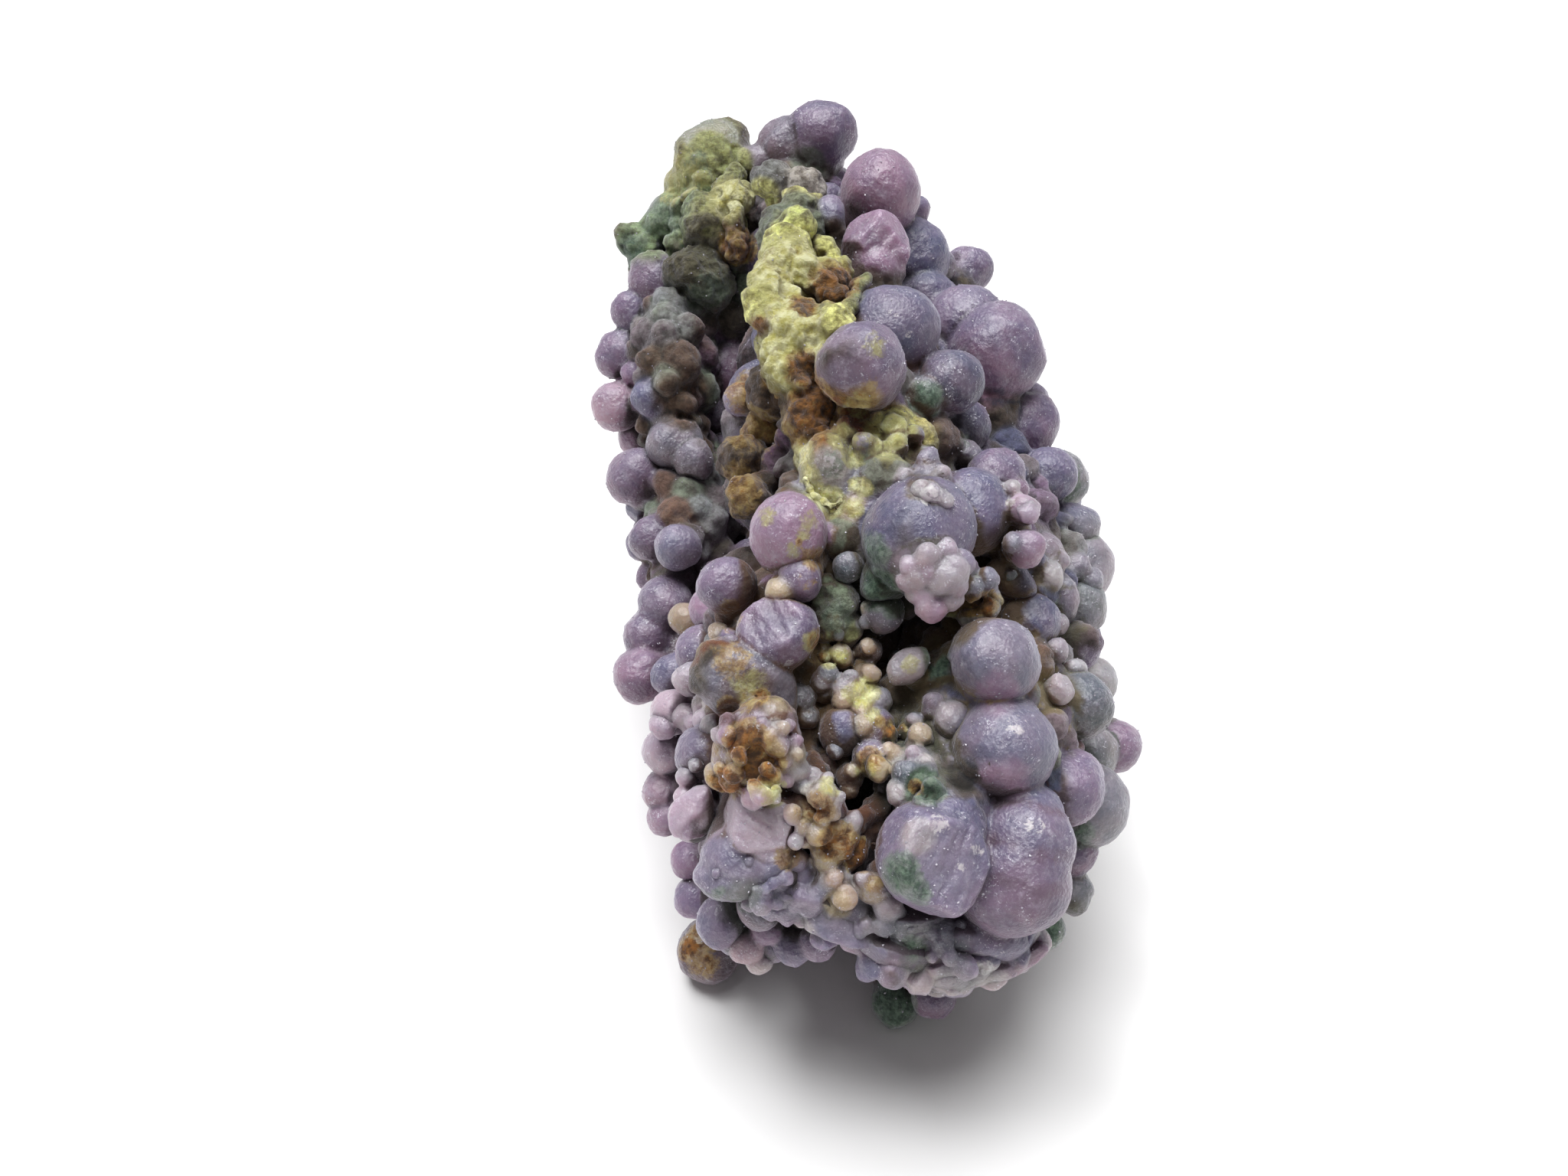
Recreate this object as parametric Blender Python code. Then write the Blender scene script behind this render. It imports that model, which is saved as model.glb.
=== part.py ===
"""Botryoidal chalcedony: a hand specimen of grape-like purple chalcedony, about 70 mm long.

The specimen is one grown piece: masses of matrix and chalcedony, covered in grapes that have fused where
they touch. It is shaped in millimetres, then scaled to metres. +Z is up, and it rests on z = 0, with its
origin under the middle of its box.

The grapes of its front and top are placed as an eye sees them that looks down on the specimen from the
front: how far across and up each one is on the sight plane, how far behind that plane it lies, and its seen
radius.
"""
import math

import bmesh
import bpy
import numpy as np
from mathutils import Matrix

MM = 0.001

# The eye and its sight plane
SIGHT_DISTANCE = 76.8
SIGHT_TILT = math.radians(40.0)
SIGHT_HEIGHT = 34.9

# The box's middle, across and along, in the frame of the sight plane
BOX_MIDDLE = (5.05, 17.1)

# How fine the solid is
VOXEL = 0.48
MOST_TRIANGLES = 9300
BALL_LEVEL = 3

# How uneven a grape and a lump of crust are, as a share of the radius
GRAPE_UNEVEN = 0.10
CRUST_UNEVEN = 0.35

# The masses under the grapes, each by its middle, its half sizes and the largest grape that grows on it out
# of the eye's sight
MASSES = {
    "front lip": ((5.5, -4, 17), (10.5, 9.5, 3.8), 2.0),
    "left shoulder": ((-0.5, 2, 24), (5.5, 9, 8), 2.0),
    "right shoulder": ((13, -1, 24), (7, 10, 7), 3.0),
    "left leg": ((-3.6, -0.5, 8), (2.8, 4, 8), 1.6),
    "right leg": ((9.4, -3.0, 6), (3.2, 4.2, 8), 1.6),
    "ridge": ((6, 20, 33), (7.5, 19, 10.5), 3.8),
    "ridge back": ((5.5, 38, 36), (6, 10.5, 8.5), 3.4),
    "saddle": ((-2.5, 42, 33.5), (4.5, 5, 7), 2.4),
    "crown neck": ((1.2, 45, 39.5), (5.5, 3.6, 6), 2.4),
    "back": ((4, 36, 24), (9.5, 11, 12), 4.4),
    "right flank": ((14.5, 14, 24), (8, 15, 12), 3.8),
    "base": ((5.5, 20, 11), (12, 21, 15), 4.0),
    "left flank": ((-2.8, 10, 16), (4.8, 12, 9), 1.8),
    "left wall": ((-8.3, 27, 20), (4.2, 10, 8), 1.9),
    "left lobe": ((-10, 36, 30), (3.6, 9, 8), 2.2),
    "left crown": ((-7, 45, 39), (3.4, 4.5, 6), 2.6),
}

# Each row is across, up, behind and radius
GRAPES = {
    "crown": [
        (2.4, 29.5, 28, 2.3), (0.3, 29.1, 28.5, 1.9), (-4.8, 28.1, 30, 2.3), (-6.0, 25.9, 30.5, 1.8),
        (-1.7, 27.6, 29, 1.5), (-3.0, 28.2, 30, 1.2), (-7.7, 24.1, 31, 1.75), (-9.4, 22.3, 31, 1.4),
        (6.3, 25.9, 17, 2.75), (3.0, 24.5, 14.5, 1.1), (8.3, 21.6, 20, 2.5), (9.5, 18.6, 19, 2.1),
        (8.6, 24.6, 20, 1.0), (11.9, 20.8, 24, 1.6), (10.4, 21.1, 21, 0.9),
    ],
    "crest": [
        (13.7, 15.3, 14.5, 3.3), (11.5, 17.4, 16, 2.5), (7.0, 16.9, 7.5, 3.1), (5.2, 14.6, 2, 3.0),
        (10.9, 13.4, 6.5, 2.2), (9.2, 12.4, 5.5, 1.4), (15.5, 10.4, 16.5, 2.4), (15.9, 12.1, 18, 1.4),
        (11.5, 10.4, 11, 2.0), (11.9, 8.8, 7, 1.0), (17.7, 7.0, 17, 2.1), (13.9, 7.3, 5.5, 1.9),
        (15.0, 6.4, 4.5, 1.0),
    ],
    "shoulder": [
        (8.9, 3.4, 0, 3.9), (11.9, 4.8, 3, 2.9), (9.5, 7.0, 1, 1.5), (13.8, 3.9, 4.5, 2.1),
        (15.7, 5.0, 1.3, 1.15), (15.7, 2.7, 0.8, 1.35), (14.9, 6.6, 2.0, 0.60), (10.6, 0.9, -3.1, 1.45),
        (8.6, 0.8, -3.3, 0.85), (7.6, 1.4, -3.3, 0.70), (10.4, 2.8, -3.8, 1.15), (9.8, -1.2, -2.4, 1.0),
        (9.2, 2.0, -3.8, 0.80), (8.9, -0.4, -2.5, 0.75), (11.9, 0.4, -2.0, 0.85), (9.6, 0.5, -3.1, 0.95),
        (9.9, 1.8, -3.6, 0.85), (10.1, -0.3, -2.7, 0.90), (11.5, 2.0, -2.8, 0.75), (8.2, 0.1, -2.8, 0.60),
        (9.0, 6.35, -2.6, 0.65), (9.7, 6.15, -2.7, 0.75), (10.35, 5.75, -2.6, 0.60), (9.5, 5.75, -2.85, 0.60),
        (12.5, 0.4, 0, 1.1), (6.5, 0.6, 1, 1.8), (6.5, -1.7, 1.2, 1.4), (4.2, 1.4, 1, 1.1),
        (4.5, 5.1, 2, 1.1), (3.1, 7.4, 3.0, 2.4), (14.8, 0.4, 4.5, 1.6), (16.5, 1.9, 8, 1.75),
        (17.8, -1.1, 8, 1.6),
    ],
    "left face": [
        (0.3, 3.5, 0.5, 2.75), (1.0, 0.6, -0.5, 1.5), (-0.3, -0.2, -1, 1.0), (-3.7, 0.1, 3.3, 1.9),
        (-2.4, -6.1, -1, 3.0), (-1.7, -10.8, -3.3, 2.9), (-5.2, -10.8, 2, 2.0), (-6.0, -15.0, 1.5, 1.6),
        (-3.4, -17.7, -2, 2.3), (-0.9, -18.2, -2.5, 2.3), (-3.6, -18.9, -2.2, 2.0), (2.0, -14.6, -3, 2.1),
        (3.0, -14.1, -4.6, 0.85),
    ],
    "hollow": [
        (3.8, -4.6, 2, 0.8), (5.5, -4.1, 2, 0.9), (5.3, -5.7, 1.5, 0.9), (8.1, -5.2, 0, 1.25),
        (2.5, -6.1, 0.5, 0.8), (4.2, -6.7, 0.5, 1.2), (5.4, -7.2, 1, 1.1), (1.0, -7.3, 0.5, 1.1),
        (1.4, -8.4, 0.5, 0.9), (8.8, -9.1, 0.5, 1.2), (8.0, -10.1, 1, 0.9), (9.5, -10.8, 0, 1.3),
        (8.3, -11.6, 0, 1.0), (5.8, -11.1, -1, 1.3), (4.3, -12.3, -0.5, 1.0), (6.8, -12.6, 0, 1.0),
        (4.6, -8.7, 2.4, 2.6), (7.8, -8.1, 9, 2.3), (9.0, -13.6, -1, 1.6), (8.2, -12.4, -3.2, 1.0),
        (9.3, -12.2, -3.7, 0.9), (8.0, -13.8, -3.3, 0.9), (9.9, -13.3, -4.6, 0.8), (8.8, -11.2, -2.4, 0.9),
        (9.2, -14.2, -5.2, 0.8), (2.8, -11.6, 0.5, 0.9),
        (2.8, -17.6, -3.3, 1.1), (4.0, -16.1, -3.3, 1.0), (4.7, -17.2, -2.5, 0.9), (3.0, -19.1, -3.3, 1.0),
        (3.8, -19.8, -3.3, 0.9), (5.8, -19.6, -3.3, 1.1), (6.8, -20.8, -3.3, 1.0), (6.5, -22.0, -3.0, 0.8),
    ],
    "right face": [
        (13.8, -4.8, -2, 3.0), (14.2, -10.3, -2, 3.45), (11.0, -8.6, -1, 1.35), (9.8, -7.8, -0.5, 0.9),
        (18.0, -6.6, 1, 1.05), (17.8, -4.1, 3.3, 0.9), (16.0, -2.2, 4.4, 2.0), (18.8, -4.1, 9, 1.8),
        (19.4, 1.4, 14.5, 2.25), (18.8, 3.9, 14.5, 1.75), (20.2, -6.1, 13, 1.65), (21.5, -10.3, 13, 1.9),
        (18.3, -9.6, 7, 1.3), (19.8, -14.1, 6.0, 2.65), (14.9, -19.0, -2.5, 3.9), (15.6, -16.6, -2.9, 3.3),
        (15.8, -15.2, -2.5, 2.6), (12.3, -14.9, -2.2, 1.9), (18.8, -17.1, 6.5, 1.75), (18.8, -19.6, 7, 1.5), (17.0, -22.3, 4, 1.4),
        (19.7, -10.6, 11, 2.0),
    ],
    "rim": [
        (6.3, -23.6, -1, 1.2), (8.0, -24.7, -0.5, 1.2), (9.8, -25.5, 0, 1.2), (11.3, -25.7, 0, 1.2),
        (13.3, -25.0, 0, 1.2), (15.0, -24.0, 0.5, 1.1), (-4.2, -21.1, 3.5, 1.8), (-1.9, -24.1, 4.5, 0.9),
        (-3.2, -23.1, 4.5, 1.0), (-1.2, -22.8, 3.5, 1.1), (0.3, -23.6, 4, 1.5), (2.2, -22.9, 2, 1.3),
        (-1.5, -20.6, 0.5, 1.6), (-3.2, -9.6, -4.2, 1.3), (-0.8, -9.4, -5, 1.2), (0.2, -10.9, -4.4, 1.3),
        (-3.9, -12.3, -2.6, 1.1), (1.2, -12.6, -3.6, 1.1), (2.6, -13.4, -4.2, 1.0),
    ],
    "feet": [
        (-4.9, -23.6, 16, 2.1), (7.3, -27.1, 13.5, 1.6), (9.8, -26.6, 11.5, 1.5),
    ],
    "left flank": [
        (-8.7, 3.3, 22, 1.45), (-6.9, 2.6, 17.5, 1.6), (-9.8, 7.3, 25, 1.9), (-11.0, 11.8, 27.5, 1.7),
        (-10.7, 15.3, 28.5, 1.6), (-9.9, 17.9, 28.5, 1.5), (-8.4, 20.0, 28.5, 1.9), (-8.7, 12.4, 24, 1.3),
        (-7.2, 9.4, 24, 1.8), (-5.9, 8.4, 23, 1.4), (-2.8, 12.4, 13, 1.2), (-7.7, -1.1, 18.5, 1.8),
        (-8.9, -3.2, 18.5, 1.75), (-6.3, -2.1, 13, 1.2), (-9.3, -5.7, 17, 1.95), (-7.2, -5.6, 13, 1.5),
        (-7.2, -8.1, 10, 1.5), (-7.7, -10.6, 10, 1.6), (-7.9, -13.1, 11, 1.4), (-7.6, -14.9, 11, 1.4),
        (-6.2, -17.7, 9, 1.3), (-5.8, -20.1, 9, 1.4), (-6.2, -5.9, 5.5, 1.2),
    ],
}

# Lumps of porous yellow and brown crust, in the same terms
CRUST = [
    (0.8, 23.4, 14.5, 1.9), (0.3, 19.9, 10, 2.3), (0.5, 16.4, 6.5, 2.3), (0.2, 21.4, 10.6, 1.8),
    (-0.5, 18.4, 7.2, 1.7), (1.1, 17.2, 5.8, 1.7), (2.7, 17.3, 5.2, 1.4), (0.7, 15.4, 4.8, 1.5),
    (-0.2, 23.0, 12.6, 1.6), (2.7, 19.8, 10, 1.7), (0.3, 14.3, 5.5, 2.0), (1.8, 11.4, 5.5, 2.2), (6.3, 9.6, 4.4, 1.5), (7.9, 9.6, 4.4, 1.75),
    (6.0, 11.1, 4.4, 0.9), (1.8, 8.9, 4.4, 1.5), (-4.7, 23.9, 27, 2.25), (-5.4, 20.4, 27, 2.25),
    (-3.4, 25.3, 26, 1.3), (-3.2, 22.3, 26, 1.2), (-0.7, 26.4, 22, 1.3), (1.3, 25.9, 22, 1.4),
    (-1.2, 10.4, 11, 1.75), (-2.8, 8.4, 10, 1.7), (-2.4, 5.9, 7, 1.5), (-0.6, 12.6, 9, 1.8),
    (10.6, -0.9, 1.5, 1.3), (12.2, -1.3, 1.5, 1.2), (13.2, -0.9, 1.5, 1.0), (3.2, -0.6, 1.8, 1.6),
    (3.4, -2.4, 2.2, 1.6),
]

# Lumps of the broken vein under the front, in the same terms
VEIN_LUMPS = [
    (0.7, -19.8, -1.8, 1.5), (1.8, -21.1, -1.5, 1.2), (5.3, -21.4, -1, 1.2), (7.8, -22.4, -0.5, 1.5),
    (10.3, -23.4, 0, 1.6), (12.8, -23.9, 0, 1.4), (-1.2, -19.2, 0, 1.6), (-0.6, -18.0, 0.5, 1.8),
    (2.8, -19.6, 0, 1.6), (4.6, -20.6, 0, 1.4), (8.6, -20.8, -0.5, 1.5), (11.5, -21.8, 0, 1.6),
]

# Long lumps of the broken vein under the front: across, up and behind, half sizes along, up and deep, and
# how far each is turned as the eye sees it, in degrees
SLABS = [
    ((3.3, -21.4, -1.2), (3.2, 1.6, 2.4), -22), ((7.0, -23.3, -0.8), (3.4, 1.2, 2.4), -24),
    ((10.8, -24.6, -0.4), (3.2, 1.6, 2.4), -11), ((14.0, -24.3, 0.0), (2.7, 1.0, 2.2), 22),
    ((8.6, -21.9, -1.2), (3.6, 1.8, 2.4), -16), ((0.6, -19.9, -1.6), (3.4, 1.6, 2.4), -6),
    ((12.4, -22.6, -1.0), (3.6, 1.8, 2.4), -6), ((-2.4, -18.2, -2.2), (3.3, 1.9, 2.2), -12),
]

# Grapes that have lost pieces: a row as above, and the ways the breaks face as the eye sees them (across, up,
# towards the eye) with how far each lies from the middle, as a share of the radius
BROKEN_GRAPES = [
    ((-0.4, -3.0, -1, 2.6), [(-0.30, 0.45, 0.84, 0.66)]),
    ((-1.2, -15.3, -3.3, 2.75), [(-0.20, 0.18, 0.96, 0.52), (-0.9, 0.1, 0.4, 0.80), (0.1, -0.9, 0.4, 0.72),
                                 (0.85, -0.2, 0.5, 0.78), (0.3, 0.9, 0.3, 0.80)]),
    ((6.0, 22.4, 12.5, 2.3), [(0.15, -0.10, 0.98, 0.50), (-0.6, 0.5, 0.6, 0.66), (0.7, 0.4, 0.6, 0.70),
                              (0.3, -0.8, 0.5, 0.72), (-0.7, -0.4, 0.6, 0.70)]),
    ((9.7, -17.6, -5, 3.9), [(0.36, 0.12, 0.92, 0.60), (-0.80, 0.45, 0.35, 0.88), (-0.30, -0.85, 0.40, 0.84),
                             (0.30, 0.90, 0.25, 0.86)]),
]

# The grapes that cover what no eye in front sees: smallest and largest radius, and how near neighbours come,
# as a share of their radii together. The sorts of the front also fill the gaps that the eye sees.
HIDDEN_SORTS = [(3.4, 4.4, 0.95), (2.4, 3.4, 0.86), (1.6, 2.4, 0.82), (1.0, 1.6, 0.78)]
FRONT_SORTS = [(1.1, 1.9, 0.80), (0.8, 1.2, 0.74)]
SKIN_POINTS_PER_MASS = 900
SEED = 41

# Where such a grape may sit: the lowest skin it grows on, how far its middle stands out of the skin and
# above the ground, as shares of its radius, and how squarely a skin that the eye sees must face it
LOWEST_SKIN = 1.2
STANDS_OUT = 0.15
SUNK_IN_FRONT = -0.30
STANDS_UP = 0.5
FACING_EYE = 0.1

# The stem that joins a grape to its mass: the step and size of its balls, as shares of the grape's radius,
# and how deep in the mass it ends
ROOT_STEP = 0.6
ROOT_SIZE = 0.72
ROOT_END = 0.95


def from_sight(across, up, behind):
    """The place of what the eye sees, and how much larger it is than it looks."""
    larger = 1 + behind / SIGHT_DISTANCE
    height = up * larger
    place = (
        across * larger,
        behind * math.cos(SIGHT_TILT) + height * math.sin(SIGHT_TILT),
        SIGHT_HEIGHT - behind * math.sin(SIGHT_TILT) + height * math.cos(SIGHT_TILT),
    )
    return np.array(place), larger


def way_from_sight(across, up, towards):
    """A direction that the eye sees, turned into the specimen's frame."""
    way = np.array((
        across,
        up * math.sin(SIGHT_TILT) - towards * math.cos(SIGHT_TILT),
        up * math.cos(SIGHT_TILT) + towards * math.sin(SIGHT_TILT),
    ))
    return way / np.linalg.norm(way)


def eye():
    """Where the eye is: above and in front of the middle of its sight plane."""
    return from_sight(0, 0, -SIGHT_DISTANCE)[0]


def seen_balls(rows):
    """Middles and real radii of rows that are given as the eye sees them."""
    balls = []
    for across, up, behind, radius in rows:
        place, larger = from_sight(across, up, behind)
        balls.append((place, radius * larger))
    return balls


def spread_ways(count):
    """Directions spread evenly over a ball."""
    step = np.arange(count) + 0.5
    height = 1 - 2 * step / count
    turn = step * math.pi * (3 - math.sqrt(5))
    flat = np.sqrt(1 - height**2)
    return np.stack([flat * np.cos(turn), flat * np.sin(turn), height], axis=1)


def skin_of_masses():
    """Points all over the joint surface of the masses, with outward directions and largest grape radii."""
    ways = spread_ways(SKIN_POINTS_PER_MASS)
    points, outward, limits = [], [], []
    masses = [(np.array(middle), np.array(half), largest) for middle, half, largest in MASSES.values()]
    for number, (middle, half, largest) in enumerate(masses):
        places = middle + ways * half
        slopes = ways / half
        slopes /= np.linalg.norm(slopes, axis=1)[:, None]
        free = places[:, 2] > LOWEST_SKIN
        for other, (other_middle, other_half, other_largest) in enumerate(masses):
            if other != number:
                free &= (((places - other_middle) / other_half) ** 2).sum(axis=1) > 1
        points.append(places[free])
        outward.append(slopes[free])
        limits.append(np.full(free.sum(), largest))
    return np.concatenate(points), np.concatenate(outward), np.concatenate(limits)


def grown_grapes(placed, crust):
    """Grapes that fill the bare skin of the masses, largest first."""
    points, outward, limits = skin_of_masses()
    order = np.random.default_rng(SEED).permutation(len(points))
    to_eye = eye() - points
    to_eye /= np.linalg.norm(to_eye, axis=1)[:, None]
    faces_eye = (to_eye * outward).sum(axis=1) > FACING_EYE
    middles = [ball[0] for ball in placed + crust]
    radii = [ball[1] for ball in placed + crust]
    grown = []
    sorts = [(sort, False) for sort in HIDDEN_SORTS] + [(sort, True) for sort in FRONT_SORTS]
    sizes = np.random.default_rng(SEED + 1)
    for (smallest, largest, nearness), in_front in sorts:
        for point in order:
            radius = sizes.uniform(smallest, largest)
            if radius > limits[point] or (faces_eye[point] and not in_front):
                continue
            middle = points[point] + outward[point] * radius * (SUNK_IN_FRONT if in_front else STANDS_OUT)
            if middle[2] < radius * STANDS_UP:
                continue
            gaps = np.linalg.norm(np.array(middles) - middle, axis=1)
            if (gaps < nearness * (np.array(radii) + radius)).any():
                continue
            middles.append(middle)
            radii.append(radius)
            grown.append((middle, radius))
    return grown


def reach(place, mass):
    """How far out of a mass a place lies: under 1 is inside."""
    middle, half, largest = mass
    return np.linalg.norm((place - np.array(middle)) / np.array(half))


def roots(ball):
    """Smaller balls that join one ball to the nearest mass, where it doesn't reach it."""
    place, radius = ball
    mass = min(MASSES.values(), key=lambda each: reach(place, each))
    towards = np.array(mass[0]) - place
    towards /= np.linalg.norm(towards)
    row = []
    while reach(place, mass) > ROOT_END:
        place = place + towards * radius * ROOT_STEP
        row.append((place, radius * ROOT_SIZE))
    return row


def unit_ball():
    shape = bmesh.new()
    bmesh.ops.create_icosphere(shape, subdivisions=BALL_LEVEL, radius=1.0)
    points = np.array([vertex.co[:] for vertex in shape.verts])
    faces = np.array([[vertex.index for vertex in face.verts] for face in shape.faces])
    shape.free()
    return points, faces


def uneven(ways, seed, depth):
    """Radius factors over a ball: slow and quick swells, the same for the same seed."""
    draw = np.random.default_rng([SEED, seed])
    swell = np.ones(len(ways))
    for turns in (2.2, 4.0, 7.0):
        wave = draw.normal(size=3)
        wave *= turns / np.linalg.norm(wave)
        swell += depth / turns * np.sin(ways @ wave + draw.uniform(0, 2 * math.pi))
    return swell


def slab_skin(ways, sight, half, turn):
    """Points on the skin of one long lump, turned as the eye sees it."""
    middle, larger = from_sight(*sight)
    angle = math.radians(turn)
    along = way_from_sight(math.cos(angle), math.sin(angle), 0)
    upward = way_from_sight(-math.sin(angle), math.cos(angle), 0)
    frame = np.stack([along, upward, np.cross(along, upward)])
    return middle + (ways * np.array(half) * larger) @ frame


def joined_balls():
    """Points and faces of every mass, grape and lump, still as separate shells."""
    ways, faces = unit_ball()
    shells = []
    for middle, half, largest in MASSES.values():
        shells.append(np.array(middle) + ways * np.array(half))
    placed = seen_balls([row for rows in GRAPES.values() for row in rows])
    crust = seen_balls(CRUST + VEIN_LUMPS)
    broken = [(seen_balls([row])[0], breaks) for row, breaks in BROKEN_GRAPES]
    standing = placed + [ball for ball, breaks in broken]
    grapes = placed + grown_grapes(standing, crust)
    for number, (middle, radius) in enumerate(grapes):
        shells.append(middle + ways * (radius * uneven(ways, number, GRAPE_UNEVEN))[:, None])
    for number, (middle, radius) in enumerate(crust):
        shells.append(middle + ways * (radius * uneven(ways, number, CRUST_UNEVEN))[:, None])
    for number, ((middle, radius), breaks) in enumerate(broken):
        offsets = ways * (radius * uneven(ways, number, GRAPE_UNEVEN))[:, None]
        for *facing, keep in breaks:
            facing = way_from_sight(*facing)
            beyond = np.maximum(offsets @ facing - keep * radius, 0)
            offsets = offsets - beyond[:, None] * facing
        shells.append(middle + offsets)
    for sight, half, turn in SLABS:
        shells.append(slab_skin(ways, sight, half, turn))
    for ball in standing + crust:
        for middle, radius in roots(ball):
            shells.append(middle + ways * radius)
    count = len(ways)
    all_faces = np.concatenate([faces + number * count for number in range(len(shells))])
    return np.concatenate(shells), all_faces


def evaluated(thing):
    """The object's mesh with its modifiers applied, as a new mesh."""
    graph = bpy.context.evaluated_depsgraph_get()
    return bpy.data.meshes.new_from_object(thing.evaluated_get(graph))


def keep_largest_body(mesh):
    """Drops every loose body but the one with the most vertices."""
    shape = bmesh.new()
    shape.from_mesh(mesh)
    left = set(shape.verts)
    bodies = []
    while left:
        start = left.pop()
        body, edge_of_body = [start], [start]
        while edge_of_body:
            vertex = edge_of_body.pop()
            for edge in vertex.link_edges:
                other = edge.other_vert(vertex)
                if other in left:
                    left.remove(other)
                    body.append(other)
                    edge_of_body.append(other)
        bodies.append(body)
    bodies.sort(key=len)
    loose = [vertex for body in bodies[:-1] for vertex in body]
    bmesh.ops.delete(shape, geom=loose, context="VERTS")
    shape.to_mesh(mesh)
    shape.free()


def cut_flat(mesh):
    """Cuts off what lies below z = 0 and closes the cut."""
    shape = bmesh.new()
    shape.from_mesh(mesh)
    parts = shape.verts[:] + shape.edges[:] + shape.faces[:]
    cut = bmesh.ops.bisect_plane(
        shape, geom=parts, dist=1e-4, plane_co=(0, 0, 0), plane_no=(0, 0, -1), clear_outer=True
    )
    edges = [item for item in cut["geom_cut"] if isinstance(item, bmesh.types.BMEdge)]
    bmesh.ops.holes_fill(shape, edges=edges, sides=0)
    bmesh.ops.triangulate(shape, faces=[face for face in shape.faces if len(face.verts) > 3])
    bmesh.ops.recalc_face_normals(shape, faces=shape.faces[:])
    shape.to_mesh(mesh)
    shape.free()


def chalcedony_material():
    material = bpy.data.materials.new("purple chalcedony")
    material.use_nodes = True
    shader = material.node_tree.nodes["Principled BSDF"]
    shader.inputs["Base Color"].default_value = (0.27, 0.22, 0.36, 1)
    shader.inputs["Roughness"].default_value = 0.45
    shader.inputs["Metallic"].default_value = 0.0
    return material


def chalcedony():
    points, faces = joined_balls()
    mesh = bpy.data.meshes.new("chalcedony")
    mesh.from_pydata(points.tolist(), [], faces.tolist())
    thing = bpy.data.objects.new("chalcedony", mesh)
    bpy.context.scene.collection.objects.link(thing)

    fuse = thing.modifiers.new("fuse", "REMESH")
    fuse.mode = "VOXEL"
    fuse.voxel_size = VOXEL
    thing.data = evaluated(thing)
    thing.modifiers.clear()
    keep_largest_body(thing.data)

    thin = thing.modifiers.new("thin", "DECIMATE")
    thin.use_collapse_triangulate = True
    triangles = sum(len(face.vertices) - 2 for face in thing.data.polygons)
    thin.ratio = min(1.0, MOST_TRIANGLES / triangles)
    thing.data = evaluated(thing)
    thing.modifiers.clear()

    cut_flat(thing.data)
    keep_largest_body(thing.data)
    thing.data.transform(Matrix.Translation((-BOX_MIDDLE[0], -BOX_MIDDLE[1], 0)))
    thing.data.transform(Matrix.Scale(MM, 4))
    thing.data.materials.append(chalcedony_material())
    thing.data.name = "chalcedony"
    thing.data.update()
    return thing


def main():
    for old in list(bpy.data.objects):
        bpy.data.objects.remove(old)
    chalcedony()


main()
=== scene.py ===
"""Looks of the botryoidal chalcedony: purple grapes, spherules, porous crust, stains and crystal sugar.

The specimen is grown here, in millimetres, from the same masses and grapes as its CAD solid, but with a finer
skin. The grapes of its front and top are placed as an eye sees them that looks down on the specimen from the
front: how far across and up each one is on the sight plane, how far behind that plane it lies, and its seen
radius.
"""
import math

import bmesh
import bpy
import numpy as np
from mathutils import Matrix, Vector


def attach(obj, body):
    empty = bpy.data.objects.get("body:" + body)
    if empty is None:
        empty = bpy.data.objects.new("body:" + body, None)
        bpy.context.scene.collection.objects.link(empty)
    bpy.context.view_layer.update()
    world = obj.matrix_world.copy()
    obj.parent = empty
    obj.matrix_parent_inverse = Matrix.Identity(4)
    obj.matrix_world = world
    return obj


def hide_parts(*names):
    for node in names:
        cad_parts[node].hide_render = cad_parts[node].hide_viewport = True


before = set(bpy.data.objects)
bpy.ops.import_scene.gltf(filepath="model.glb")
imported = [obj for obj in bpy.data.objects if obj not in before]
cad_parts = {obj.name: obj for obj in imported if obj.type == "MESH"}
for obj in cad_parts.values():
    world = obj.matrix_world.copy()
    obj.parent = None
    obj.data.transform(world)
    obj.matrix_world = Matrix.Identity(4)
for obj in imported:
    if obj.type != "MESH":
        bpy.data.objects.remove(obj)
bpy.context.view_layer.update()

MM = 0.001
NODE = "chalcedony"

# The eye and its sight plane, as in the CAD solid
SIGHT_DISTANCE = 76.8
SIGHT_TILT = math.radians(40.0)
SIGHT_HEIGHT = 34.9
BOX_MIDDLE = (5.05, 17.1)

# The lens of the eye: its sensor and focal length in millimetres, and the nearest it sees, in metres
SENSOR_WIDTH = 36.0
FOCAL_LENGTH = 27.0
NEAREST_SEEN = 0.004

# How fine each part of the skin is, in millimetres, and how many triangles it may have
COARSER = 1.0
FRONT_VOXEL = 0.15 * COARSER
CREST_VOXEL = 0.19 * COARSER
BACK_VOXEL = 0.28 * COARSER
CRUST_VOXEL = 0.13 * COARSER
BEAD_VOXEL = 0.12 * COARSER
SKIN_TRIANGLES = {
    "front": 190000,
    "crest": 160000,
    "back": 120000,
    "crust": 150000,
    "beads": 190000,
}
SKIN_SMOOTHING = 2

# How fine a small and a large ball start out, as icosphere levels, and the radius over which a ball is large
BALL_LEVELS = (3, 4)
LARGE_BALL_OVER = 1.8

# The shape of each kind of ball: its size and unevenness as shares of the radius, how many flat places are
# worn on it, the nearest they come to its middle, how much of the skin beyond them they take, and how far it
# may be stretched
LUMP_UNEVEN = 0.22
SHAPES = {
    "grape": (1.0, 0.10, 7, 0.91, 0.6, 1.10),
    "cut": (1.0, 0.10, 8, 0.80, 0.9, 1.30),
    "bead": (1.0, LUMP_UNEVEN, 6, 0.84, 0.8, 1.10),
    "shard": (1.12, LUMP_UNEVEN, 12, 0.72, 1.0, 1.30),
    "lumpy": (1.0, LUMP_UNEVEN, 0, 1.0, 0.0, 1.30),
    "crust": (1.0, 0.28, 0, 1.0, 0.0, 1.0),
}
SLAB_SIZE = 1.1
FARTHEST_FLAT = 0.97

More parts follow.
